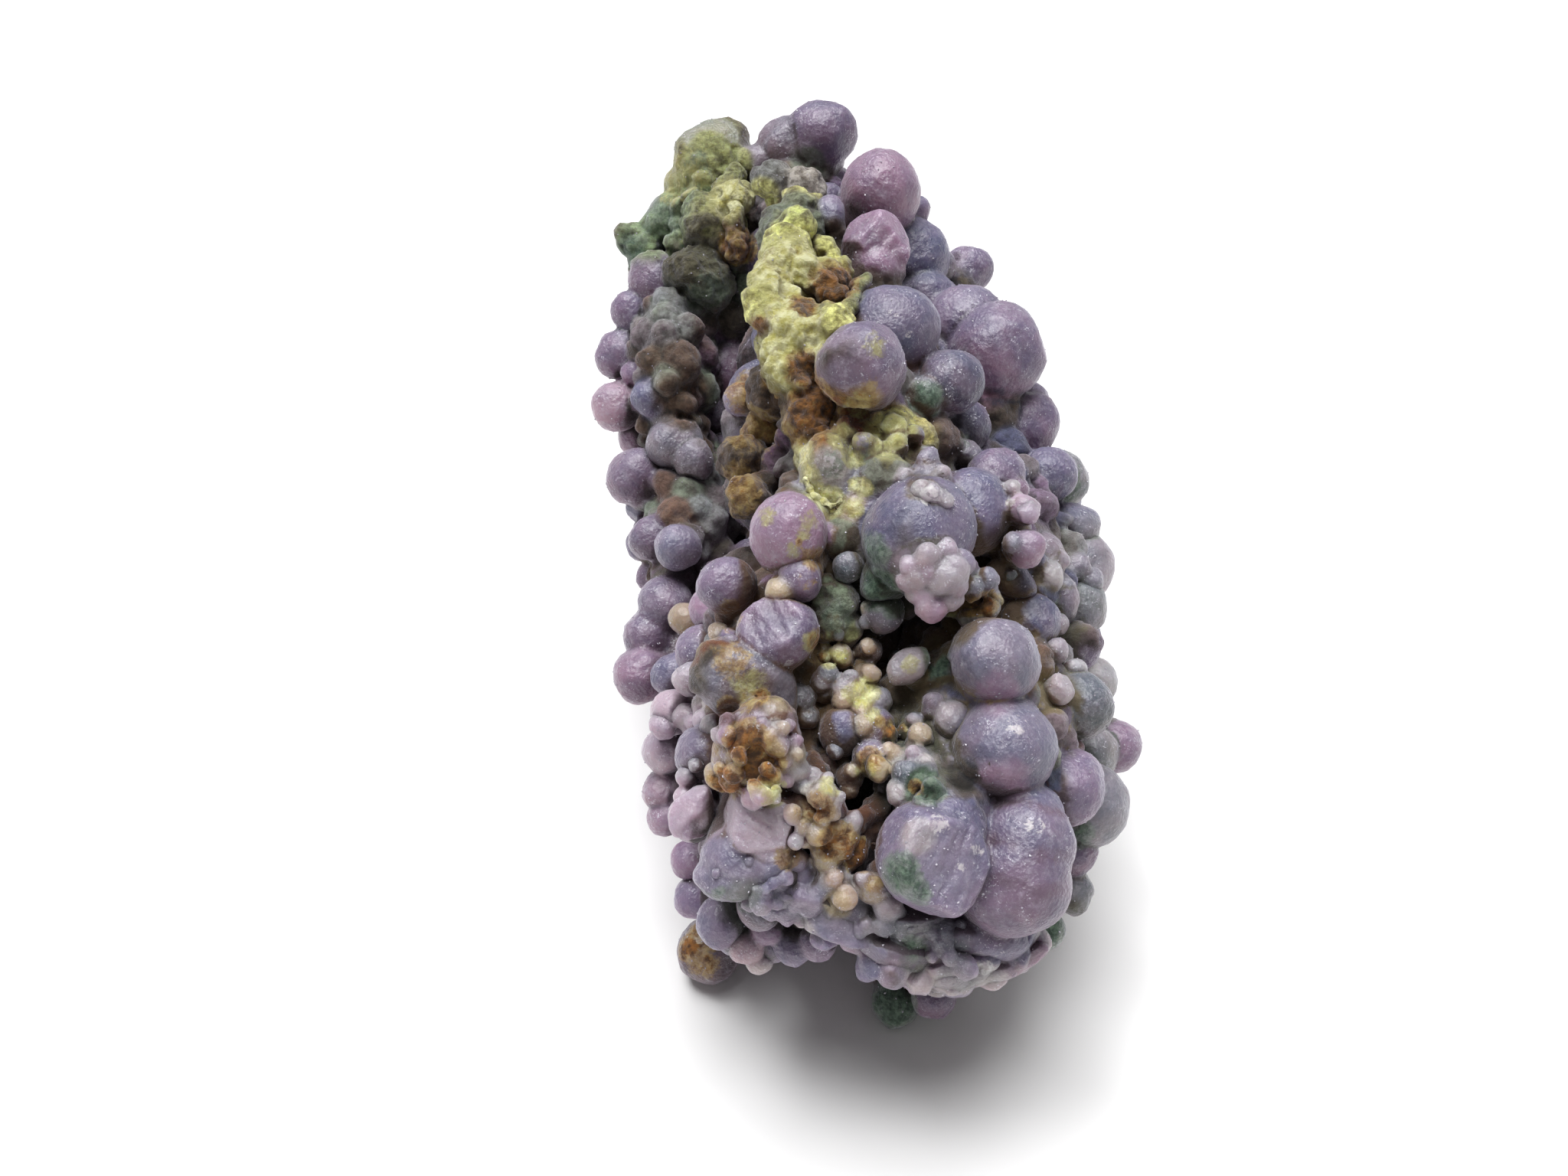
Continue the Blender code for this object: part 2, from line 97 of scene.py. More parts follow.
# How much lighter or darker, and how much off its tint, a ball may be
LIGHTNESS_SPREAD = (0.82, 1.16)
TINT_SPREAD = (0.94, 1.06)

# Colours of the stone, and "shade" for painted shade, as a screen shows them; STONE_DEPTH makes them all a
# little deeper
STONE_DEPTH = 0.74
TINTS = {
    "lilac": (0.48, 0.46, 0.56),
    "mauve": (0.51, 0.43, 0.54),
    "pink": (0.66, 0.51, 0.61),
    "rose": (0.76, 0.63, 0.67),
    "blush": (0.86, 0.77, 0.81),
    "slate": (0.33, 0.34, 0.47),
    "dusk": (0.24, 0.245, 0.34),
    "indigo": (0.32, 0.33, 0.46),
    "plum": (0.46, 0.36, 0.46),
    "milk": (0.80, 0.77, 0.74),
    "honey": (0.84, 0.74, 0.50),
    "ash": (0.51, 0.48, 0.49),
    "fog": (0.57, 0.58, 0.58),
    "pearl": (0.55, 0.53, 0.60),
    "sage": (0.49, 0.53, 0.46),
    "olive": (0.66, 0.68, 0.46),
    "lichen": (0.56, 0.64, 0.49),
    "moss": (0.26, 0.36, 0.28),
    "bronze": (0.36, 0.34, 0.25),
    "umber": (0.41, 0.32, 0.25),
    "lime": (1.0, 1.0, 0.64),
    "ochre": (0.55, 0.40, 0.11),
    "rust": (0.46, 0.23, 0.07),
    "brown": (0.21, 0.11, 0.04),
    "matrix": (0.36, 0.32, 0.27),
    # "shade" is no colour of the stone: a near black laid on as painted shade
    "shade": (0.08, 0.06, 0.04),
}

# The masses under the grapes, each by its middle, its half sizes and the radius of the largest grape that
# grows on it unseen
MASSES = {
    "front lip": ((5.5, -4, 17), (10.5, 9.5, 3.8), 2.0),
    "left shoulder": ((-0.5, 2, 24), (5.5, 9, 8), 2.0),
    "right shoulder": ((13, -1, 24), (7, 10, 7), 3.0),
    "left leg": ((-3.6, -0.5, 8), (2.8, 4, 8), 1.6),
    "right leg": ((9.4, -3.0, 6), (3.2, 4.2, 8), 1.6),
    "ridge": ((6, 20, 33), (7.5, 19, 10.5), 3.8),
    "ridge back": ((5.5, 38, 36), (6, 10.5, 8.5), 3.4),
    "saddle": ((-2.5, 42, 33.5), (4.5, 5, 7), 2.4),
    "crown neck": ((1.2, 45, 39.5), (5.5, 3.6, 6), 2.4),
    "back": ((4, 36, 24), (9.5, 11, 12), 4.4),
    "right flank": ((14.5, 14, 24), (8, 15, 12), 3.8),
    "base": ((5.5, 20, 11), (12, 21, 15), 4.0),
    "left flank": ((-2.8, 10, 16), (4.8, 12, 9), 1.8),
    "left wall": ((-8.3, 27, 20), (4.2, 10, 8), 1.9),
    "left lobe": ((-10, 36, 30), (3.6, 9, 8), 2.2),
    "left crown": ((-7, 45, 39), (3.4, 4.5, 6), 2.6),
}

# The parts of the skin, and the masses that each one is grown on
FRONT_MASSES = ("front lip", "left shoulder", "right shoulder", "left leg", "right leg")
CREST_MASSES = ("ridge", "ridge back", "saddle", "crown neck", "left lobe", "left crown")
BACK_MASSES = ("back", "right flank", "base", "left flank", "left wall")
FRONT_ENDS_AT = 3.5
CREST_STARTS_ABOVE = 27.0

# Each row is across, up, behind, radius, tint and, where it isn't a plain grape, its shape
GRAPES = {
    "crown": [
        (2.4, 29.5, 28, 2.3, "mauve"), (0.3, 29.1, 28.5, 1.9, "ash", "lumpy"),
        (-4.8, 28.1, 30, 2.3, "olive", "lumpy"), (-6.0, 25.9, 30.5, 1.8, "olive", "lumpy"),
        (-1.7, 27.6, 29, 1.5, "ash", "lumpy"), (-3.0, 28.2, 30, 1.2, "olive", "lumpy"),
        (-7.7, 24.1, 31, 1.75, "lichen", "lumpy"), (-9.4, 22.3, 31, 1.4, "lichen", "lumpy"),
        (6.3, 25.9, 17, 2.75, "pink"), (3.0, 24.5, 14.5, 1.1, "lilac", "lumpy"),
        (8.3, 21.6, 20, 2.5, "slate"), (9.5, 18.6, 19, 2.1, "slate"), (8.6, 24.6, 20, 1.0, "mauve"),
        (11.9, 20.8, 24, 1.6, "mauve"), (10.4, 21.1, 21, 0.9, "ash"),
    ],
    "crest": [
        (13.7, 15.3, 14.5, 3.3, "mauve"), (11.5, 17.4, 16, 2.5, "mauve"), (7.0, 16.9, 7.5, 3.1, "slate"),
        (5.2, 14.6, 2, 3.0, "mauve"), (10.9, 13.4, 6.5, 2.2, "dusk"), (9.2, 12.4, 5.5, 1.4, "moss"),
        (15.5, 10.4, 16.5, 2.4, "plum"), (15.9, 12.1, 18, 1.4, "mauve"), (11.5, 10.4, 11, 2.0, "dusk"),
        (11.9, 8.8, 7, 1.0, "ash"), (17.7, 7.0, 17, 2.1, "sage"), (13.9, 7.3, 5.5, 1.9, "mauve"),
        (15.0, 6.4, 4.5, 1.0, "pink"),
    ],
    "shoulder": [
        (8.9, 3.4, 0, 3.9, "slate"), (11.9, 4.8, 3, 2.9, "slate"), (9.5, 7.0, 1, 1.5, "ash"),
        (13.8, 3.9, 4.5, 2.1, "mauve"), (15.7, 5.0, 1.3, 1.15, "blush", "bead"),
        (15.7, 2.7, 0.8, 1.35, "rose", "bead"), (14.9, 6.6, 2.0, 0.6, "milk", "bead"),
        (10.6, 0.9, -3.4, 1.5, "milk", "bead"), (8.6, 0.9, -3.5, 0.95, "milk", "bead"),
        (8.2, 1.6, -3.6, 0.75, "blush", "bead"), (10.5, 2.5, -3.5, 0.85, "blush", "bead"),
        (9.8, -1.3, -2.7, 1.0, "rose", "bead"), (9.3, 2.0, -3.8, 0.95, "milk", "bead"),
        (9.0, -0.5, -3.0, 0.8, "blush", "bead"), (11.3, 0.2, -3.1, 0.85, "blush", "bead"),
        (9.7, 0.3, -3.0, 0.9, "milk", "bead"), (9.0, 6.35, -2.75, 0.75, "milk", "cut"),
        (9.7, 6.15, -2.85, 0.85, "milk", "cut"), (10.3, 5.8, -2.75, 0.75, "milk", "cut"),
        (9.3, -1.2, -2.8, 0.8, "blush", "bead"), (8.0, 0.4, -3.1, 0.8, "blush", "bead"),
        (8.5, -0.3, -2.8, 0.7, "milk", "bead"), (10.9, -0.7, -2.7, 0.9, "milk", "bead"),
        (11.6, 1.6, -3.0, 0.9, "pearl", "bead"), (9.4, 1.2, -3.8, 0.85, "blush", "bead"),
        (12.5, 0.4, 0, 1.1, "ash", "cut"), (6.5, 0.6, 1, 1.8, "moss", "lumpy"), (6.5, -1.7, 1.2, 1.4, "ash"),
        (4.2, 1.4, 1, 1.1, "moss"), (4.5, 5.1, 2, 1.1, "honey", "lumpy"),
        (3.1, 7.4, 3.0, 2.4, "fog", "lumpy"), (14.8, 0.4, 4.5, 1.6, "dusk", "lumpy"),
        (16.5, 1.9, 8, 1.75, "ash", "lumpy"), (17.8, -1.1, 8, 1.6, "ash", "lumpy"),
    ],
    "left face": [
        (0.3, 3.5, 0.5, 2.75, "pink"), (1.0, 0.6, -0.5, 1.5, "mauve"), (-0.3, -0.2, -1, 1.0, "honey"),
        (-3.7, 0.1, 3.3, 1.9, "mauve"), (-2.4, -6.1, -1, 3.0, "ash", "lumpy"),
        (-1.7, -10.8, -3.3, 2.9, "rose", "lumpy"), (-5.2, -10.8, 2, 2.0, "lilac"),
        (-6.0, -15.0, 1.5, 1.6, "blush", "cut"), (-3.4, -17.7, -2, 2.3, "lilac", "cut"),
        (-0.9, -18.2, -2.5, 2.3, "lilac", "lumpy"), (-3.6, -18.9, -2.2, 2.0, "lilac", "lumpy"),
        (2.0, -14.6, -3, 2.1, "ash", "lumpy"), (3.0, -14.1, -4.6, 0.85, "milk"),
    ],
    "hollow": [
        (3.8, -4.6, 2, 0.8, "honey"), (5.5, -4.1, 2, 0.9, "ash"), (5.3, -5.7, 1.5, 0.9, "honey"),
        (8.1, -5.2, 0, 1.25, "milk", "lumpy"), (2.5, -6.1, 0.5, 0.8, "milk"),
        (4.2, -6.7, 0.5, 1.2, "milk", "lumpy"), (5.4, -7.2, 1, 1.1, "honey", "lumpy"),
        (1.0, -7.3, 0.5, 1.1, "sage"), (1.4, -8.4, 0.5, 0.9, "sage"), (8.8, -9.1, 0.5, 1.2, "sage"),
        (8.0, -10.1, 1, 0.9, "honey"), (9.5, -10.8, 0, 1.3, "sage"), (3.8, -9.4, -0.2, 1.6, "slate"),
        (5.7, -9.1, 0.2, 1.5, "slate"), (8.2, -11.5, -1.6, 1.0, "milk"), (7.2, -10.9, -1.4, 0.8, "honey"),
        (8.7, -10.2, -1.2, 0.8, "milk"), (5.8, -11.1, -1, 1.3, "lilac"), (4.3, -12.3, -0.5, 1.0, "milk"),
        # The grape of the tint "shade" deep in the hollow is a dark ball laid there as painted shade
        (6.8, -12.6, 0, 1.0, "milk"), (4.6, -8.7, 2.4, 2.6, "slate"), (7.8, -8.1, 9, 2.3, "shade"),
        (9.0, -13.6, -1, 1.6, "moss", "lumpy"), (8.2, -12.4, -3.2, 1.0, "moss", "lumpy"),
        (9.3, -12.2, -3.7, 0.9, "moss", "lumpy"), (8.0, -13.8, -3.3, 0.9, "sage", "lumpy"),
        (9.9, -13.3, -4.6, 0.8, "moss", "lumpy"), (8.8, -11.2, -2.4, 0.9, "moss", "lumpy"),
        (9.2, -14.2, -5.2, 0.8, "sage", "lumpy"), (2.8, -11.6, 0.5, 0.9, "lilac"),
        (2.8, -17.6, -3.3, 1.1, "honey"), (4.0, -16.1, -3.3, 1.0, "honey"), (4.7, -17.2, -2.5, 0.9, "umber"),
        (3.0, -19.1, -3.3, 1.0, "milk"), (3.8, -19.8, -3.3, 0.9, "sage"), (5.8, -19.6, -3.3, 1.1, "honey"),
        (6.8, -20.8, -3.3, 1.0, "milk"), (6.5, -22.0, -3.0, 0.8, "ash"),
    ],
    "right face": [
        (13.8, -4.7, -2, 3.0, "pearl"), (14.3, -10.2, -2, 3.4, "lilac"), (11.0, -8.6, -1, 1.35, "milk"),
        (9.8, -7.8, -0.5, 0.9, "ash", "lumpy"), (18.0, -6.6, 1, 1.05, "milk", "cut"),
        (17.8, -4.1, 3.3, 0.9, "milk"), (16.0, -2.2, 4.4, 2.0, "slate"),
        (18.8, -4.1, 9, 1.8, "mauve", "lumpy"), (19.4, 1.4, 14.5, 2.25, "milk"),
        (18.8, 3.9, 14.5, 1.75, "lilac", "lumpy"), (20.2, -6.1, 13, 1.65, "milk"),
        (21.5, -10.3, 13, 1.9, "pink"), (18.3, -9.6, 7, 1.3, "moss", "lumpy"),
        (19.8, -14.1, 6.0, 2.65, "fog"), (14.9, -19.0, -2.5, 3.9, "plum"), (15.6, -16.6, -2.9, 3.3, "mauve"),
        (15.3, -17.9, -3.0, 3.5, "mauve"), (15.8, -15.2, -2.5, 2.6, "slate"),
        (12.3, -14.9, -2.2, 1.9, "dusk"), (18.8, -17.1, 6.5, 1.75, "plum"),
        (18.8, -19.6, 7, 1.5, "sage", "lumpy"), (17.0, -22.3, 4, 1.4, "moss"), (19.7, -10.6, 11, 2.0, "sage"),
    ],
    "rim": [
        (6.3, -23.6, -1, 1.2, "ash", "lumpy"), (8.0, -24.7, -0.5, 1.2, "ash", "lumpy"),
        (9.8, -25.5, 0, 1.2, "sage", "lumpy"), (11.3, -25.7, 0, 1.2, "lilac", "lumpy"),
        (13.3, -25.0, 0, 1.2, "ash", "lumpy"), (15.0, -24.0, 0.5, 1.1, "milk", "lumpy"),
        (-4.2, -21.8, 2.6, 1.6, "lilac"), (-1.6, -24.4, 3.6, 0.9, "milk"), (-2.4, -23.3, 3.0, 1.3, "rose"),
        (-1.1, -22.2, 2.4, 1.2, "pink"), (0.6, -23.3, 2.6, 1.4, "lilac"), (2.2, -23.2, 1.6, 1.3, "mauve"),
        (-2.9, -22.0, 4.2, 1.9, "lilac"), (-0.6, -22.6, 4.4, 1.8, "mauve"),
        (-1.5, -20.6, 0.5, 1.6, "ash", "lumpy"), (-3.2, -9.6, -4.2, 1.3, "rose", "lumpy"),
        (-0.8, -9.4, -5, 1.2, "milk", "lumpy"), (0.2, -10.9, -4.4, 1.3, "honey", "lumpy"),
        (-3.9, -12.3, -2.6, 1.1, "honey", "lumpy"), (1.2, -12.6, -3.6, 1.1, "milk", "lumpy"),
        (2.6, -13.4, -4.2, 1.0, "milk", "lumpy"),
    ],
    "feet": [
        (-4.9, -23.6, 16, 2.1, "umber"), (7.3, -27.1, 13.5, 1.6, "moss"), (9.8, -26.6, 11.5, 1.5, "plum"),
    ],
    "left flank": [
        (-8.7, 3.3, 22, 1.45, "plum"), (-6.9, 2.6, 17.5, 1.6, "lilac"), (-9.8, 7.3, 25, 1.9, "plum"),
        (-11.0, 11.8, 27.5, 1.7, "rose"), (-10.7, 15.3, 28.5, 1.6, "mauve"), (-9.9, 17.9, 28.5, 1.5, "mauve"),
        (-8.4, 20.0, 28.5, 1.9, "plum"), (-8.7, 12.4, 24, 1.3, "slate"), (-7.2, 9.4, 24, 1.8, "ash"),
        (-5.9, 8.4, 23, 1.4, "ash"), (-2.8, 12.4, 13, 1.2, "lilac"), (-7.7, -1.1, 18.5, 1.8, "mauve"),
        (-8.9, -3.2, 18.5, 1.75, "plum"), (-6.3, -2.1, 13, 1.2, "honey"), (-9.3, -5.7, 17, 1.95, "pink"),
        (-7.2, -5.6, 13, 1.5, "slate"), (-7.2, -8.1, 8, 1.6, "blush"), (-7.7, -10.6, 10, 1.6, "blush"),
        (-7.9, -13.1, 11, 1.4, "rose"), (-7.6, -14.9, 11, 1.4, "pink"), (-6.2, -17.7, 9, 1.3, "pink"),
        (-5.8, -20.1, 9, 1.4, "mauve"), (-6.2, -5.9, 5.5, 1.2, "milk", "lumpy"),
    ],
}

# Lumps of porous yellow and brown crust, in the same terms
CRUST = [
    (0.8, 23.4, 14.5, 1.9, "sage"), (0.3, 19.9, 10, 2.3, "lime"), (0.5, 16.4, 6.5, 2.3, "lime"),
    (0.2, 21.4, 10.6, 1.8, "lime"), (-0.5, 18.4, 7.2, 1.7, "lime"), (1.1, 17.2, 5.8, 1.7, "lime"),
    (2.7, 17.3, 5.2, 1.4, "lime"), (0.7, 15.4, 4.8, 1.5, "lime"), (-0.2, 23.0, 12.6, 1.6, "sage"),
    (2.7, 19.8, 10, 1.7, "ochre"), (0.3, 14.3, 5.5, 2.0, "ochre"), (1.8, 11.4, 5.5, 2.2, "brown"),
    (6.3, 9.6, 4.4, 1.5, "honey"), (7.9, 9.6, 4.4, 1.75, "lime"), (6.0, 11.1, 4.4, 0.9, "honey"),
    (6.9, 10.2, 3.9, 1.5, "honey"), (1.8, 8.9, 4.4, 1.5, "ochre"), (-4.7, 23.9, 27, 2.25, "olive"),
    (-5.4, 20.4, 27, 2.25, "lichen"), (-3.4, 25.3, 26, 1.3, "olive"), (-3.2, 22.3, 26, 1.2, "ochre"),
    (-0.7, 26.4, 22, 1.3, "sage"), (1.3, 25.9, 22, 1.4, "fog"), (-1.2, 10.4, 11, 1.75, "umber"),
    (-2.8, 8.4, 10, 1.7, "umber"), (-2.4, 5.9, 7, 1.5, "umber"), (-0.6, 12.6, 9, 1.8, "umber"),
    (10.6, -0.9, 1.5, 1.3, "olive"), (12.2, -1.3, 1.5, 1.2, "ochre"), (13.2, -0.9, 1.5, 1.0, "honey"),
    (3.2, -0.6, 1.8, 1.6, "sage"), (3.4, -2.4, 2.2, 1.6, "olive"),
]

# Strings of crust: how thick each one is, its tint, and the places it runs through: across, up, behind
CRUST_STRINGS = [
    (1.2, "lime", [
        (1.2, 24.8, 15.6), (0.6, 23.4, 11.6), (-0.3, 21.4, 8.6), (-1.0, 19.6, 7.6), (-1.3, 18.0, 5.8),
        (-0.6, 17.0, 4.4), (0.9, 16.7, 4.0), (2.6, 16.7, 3.8), (3.9, 17.5, 4.6),
    ]),
    (0.42, "olive", [(3.9, 17.5, 4.6), (4.6, 18.9, 6.0), (5.2, 20.2, 8.0)]),
    (0.8, "ochre", [(1.6, 20.6, 8.4), (2.6, 19.8, 7.6), (3.6, 18.9, 7.0)]),
    (0.75, "lime", [(-0.7, 17.0, 4.4), (-0.7, 15.8, 4.2), (-0.4, 14.6, 3.9), (0.7, 13.9, 3.6)]),
    (0.7, "lime", [(1.2, 16.6, 4.0), (2.0, 15.6, 3.6), (3.0, 15.0, 2.8)]),
    (1.2, "lime", [(0.2, 22.4, 10.2), (1.2, 21.4, 8.8), (1.4, 20.0, 7.8)]),
    (0.6, "olive", [(2.2, 22.4, 11.2), (3.4, 21.4, 10.8), (4.4, 20.0, 9.6)]),
    (0.34, "lime", [(1.4, 7.0, 1.9), (2.0, 5.9, 1.5), (3.2, 5.4, 1.4), (4.4, 5.8, 1.6)]),
    (0.5, "ochre", [(1.2, 13.2, 3.4), (0.8, 11.8, 3.8), (1.4, 10.4, 3.8), (2.8, 9.6, 3.2), (4.4, 9.5, 2.6)]),
    (0.6, "honey", [(6.0, 11.0, 2.8), (7.0, 10.4, 2.6), (7.4, 9.2, 2.4), (6.6, 8.2, 2.2)]),
    (0.8, "lime", [(-3.2, 26.8, 27.2), (-4.0, 25.3, 26.2), (-5.2, 24.4, 26.2), (-6.4, 24.6, 27.0)]),
    (0.6, "ochre", [(-3.0, 24.6, 24.4), (-3.4, 23.2, 23.8), (-3.0, 21.6, 24.0)]),
    (0.4, "lime", [(-1.9, -13.0, -6.4), (-1.0, -13.6, -6.3), (0.1, -13.2, -6.2)]),
    (0.32, "honey", [(6.2, -11.9, -2.4), (7.0, -10.9, -1.6), (7.2, -9.9, -1.0)]),
]

# How the lumps of a string and of a row of rubble lie: how far apart in millimetres and as a share of the
# thickness, how far out of line, and their smallest and largest radius, as shares of the thickness
STRING_SPACING = (0.60, 0.0)
STRING_OUT_OF_LINE = 0.16
STRING_SIZES = (0.80, 1.15)
RUBBLE_SPACING = (0.0, 0.42)
RUBBLE_OUT_OF_LINE = 0.34
RUBBLE_SIZES = (0.55, 1.00)

# Lumps of the broken vein under the front, in the same terms
VEIN_LUMPS = [
    (0.7, -19.8, -1.8, 1.5, "pearl"), (1.8, -21.1, -1.5, 1.2, "fog"), (5.3, -21.4, -1, 1.2, "lilac"),
    (7.8, -22.4, -0.5, 1.5, "sage"), (10.3, -23.4, 0, 1.6, "pearl"), (12.8, -23.9, 0, 1.4, "mauve"),
    (-1.2, -19.2, 0, 1.6, "pearl"), (-0.6, -18.0, 0.5, 1.8, "ash"), (2.8, -19.6, 0, 1.6, "milk"),
    (4.6, -20.6, 0, 1.4, "honey"), (8.6, -20.8, -0.5, 1.5, "lilac"), (11.5, -21.8, 0, 1.6, "mauve"),
]

# Rows of broken vein lumps under the front, in the same terms as the strings
VEIN_ROWS = [
    (1.3, "pearl", [(-0.6, -19.8, -1.6), (1.4, -20.8, -1.8), (3.2, -21.8, -1.8), (5.0, -22.8, -1.6)]),
    (1.5, "lilac", [(5.0, -23.2, -1.2), (7.0, -24.2, -1.0), (9.0, -25.0, -0.8), (11.2, -25.2, -0.8)]),
    (1.3, "milk", [(11.2, -25.2, -0.8), (13.2, -24.6, -0.8), (15.0, -23.5, -0.6), (16.4, -22.2, -0.2)]),
    (1.2, "lilac", [(1.0, -19.6, -2.4), (3.0, -20.6, -2.6), (5.4, -21.6, -2.6), (7.6, -22.6, -2.4)]),
    (1.3, "lilac", [(8.0, -22.6, -2.2), (10.0, -23.6, -2.0), (12.2, -24.0, -1.6), (14.2, -23.2, -1.4)]),
    (1.00, "fog", [(6.4, -21.0, -2.8), (8.0, -21.9, -2.8), (9.8, -22.8, -2.6), (11.2, -23.2, -2.4)]),
    (1.2, "blush", [(-3.4, -18.6, -2.6), (-1.6, -19.4, -2.6), (0.0, -19.2, -2.6)]),
]

VEIN_CRUSTY = 0.1

# Long lumps of the broken vein under the front: across, up and behind, half sizes along, up and deep, how far
# they are turned as the eye sees it, in degrees, and their tint
SLABS = [
    ((3.3, -21.4, -1.2), (3.2, 1.6, 2.4), -22, "pearl"), ((7.0, -23.3, -0.8), (3.4, 1.2, 2.4), -24, "rose"),
    ((10.8, -24.6, -0.4), (3.2, 1.6, 2.4), -11, "milk"), ((14.0, -24.3, 0.0), (2.7, 1.0, 2.2), 22, "rose"),
    ((8.6, -21.9, -1.2), (3.6, 1.8, 2.4), -16, "fog"), ((0.6, -19.9, -1.6), (3.4, 1.6, 2.4), -6, "pearl"),
    ((12.4, -22.6, -1.0), (3.6, 1.8, 2.4), -6, "lilac"), ((-2.4, -18.2, -2.2), (3.3, 1.9, 2.2), -12, "lilac"),
]

# Thin plates of crystal that lie on the grapes, in the same terms
PLATES = [
    ((7.1, -9.6, -0.7), (0.35, 0.8, 0.22), 20, "rust"), ((18.0, -6.6, 0.2), (0.85, 0.95, 0.6), 20, "milk"),
    ((16.0, 4.9, 0.2), (0.9, 0.7, 0.6), 10, "blush"), ((-6.0, -14.9, -0.9), (1.35, 1.95, 1.0), -18, "blush"),
]

# Grapes that have lost pieces: a row as above, the ways the breaks face as the eye sees them (across, up,
# towards the eye) with how far each lies from the middle, as a share of the radius, and how the grain of the
# first break is turned, in degrees
BROKEN_GRAPES = [
    ((-0.4, -3.0, -1, 2.6, "plum"), [(-0.3, 0.45, 0.84, 0.66)], -62),
    ((-1.2, -15.3, -3.3, 2.75, "blush"), [
        (-0.2, 0.18, 0.96, 0.52), (-0.9, 0.1, 0.4, 0.8), (0.1, -0.9, 0.4, 0.72), (0.85, -0.2, 0.5, 0.78),
        (0.3, 0.9, 0.3, 0.8),
    ], -30),
    ((6.0, 22.4, 12.5, 2.3, "pink"), [
        (0.15, -0.1, 0.98, 0.5), (-0.6, 0.5, 0.6, 0.66), (0.7, 0.4, 0.6, 0.7), (0.3, -0.8, 0.5, 0.72),
        (-0.7, -0.4, 0.6, 0.7),
    ], 50),
    ((9.7, -17.6, -5, 3.9, "lilac"), [
        (0.36, 0.12, 0.92, 0.6), (-0.8, 0.45, 0.35, 0.88), (-0.3, -0.85, 0.4, 0.84), (0.3, 0.9, 0.25, 0.86),
    ], 58),
]

# Clusters of small beads: across, up, behind, how wide, how many, smallest and largest radius, and tints
BEAD_CLUSTERS = [
    (-1.9, -11.2, -5.6, 3.2, 60, 0.36, 0.8, ("rose", "honey", "rose", "milk")),
    (3.3, -17.1, -3.5, 3.1, 26, 0.45, 1.05, ("honey", "milk", "honey")),
    (6.8, -10.8, -0.6, 3.6, 22, 0.45, 0.95, ("milk", "fog", "honey", "honey")),
    (5.3, -4.8, 1.6, 3.6, 20, 0.45, 0.95, ("fog", "sage", "honey")),
    (-4.6, -4.6, 0.8, 3.2, 12, 0.4, 0.85, ("ash", "mauve", "honey")),
    (18.6, -1.6, 7.0, 4.6, 9, 0.6, 1.2, ("pearl", "milk", "fog")),
    (7.6, 8.2, 1.0, 3.0, 8, 0.5, 0.9, ("fog", "milk")),
    (-6.4, -11.0, 4.0, 4.0, 20, 0.5, 1.1, ("blush", "blush", "milk")),
    (7.8, -22.0, -3.0, 4.4, 18, 0.3, 0.6, ("fog", "lilac", "milk", "rose")),
    (1.6, -13.4, -4.6, 2.8, 26, 0.4, 0.9, ("milk", "honey", "milk", "fog")),
    (13.4, 0.4, 1.0, 3.0, 10, 0.45, 0.9, ("fog", "sage")),
    (-1.8, -18.6, -3.6, 2.6, 14, 0.35, 0.75, ("milk", "lilac", "blush")),
]

# Where a bead may sit: how deep in its host and how far in another ball, as shares of its radius, and how
# near to another bead, as a share of their radii together
BEAD_SUNK = 0.22
BEAD_IN_OTHER = 0.10
BEAD_NEARNESS = 0.72
TRIES_PER_BEAD = 30

# Balls of the front under this radius, and less crusty than this, belong to the piece of small beads
BEADS_UNDER = 1.55
HARDLY_CRUSTY = 0.5

# The numbers that give beads, slabs and plates unevenness of their own
FIRST_BEAD_NUMBER = 2000
FIRST_SLAB_NUMBER = 500
FIRST_PLATE_NUMBER = 50
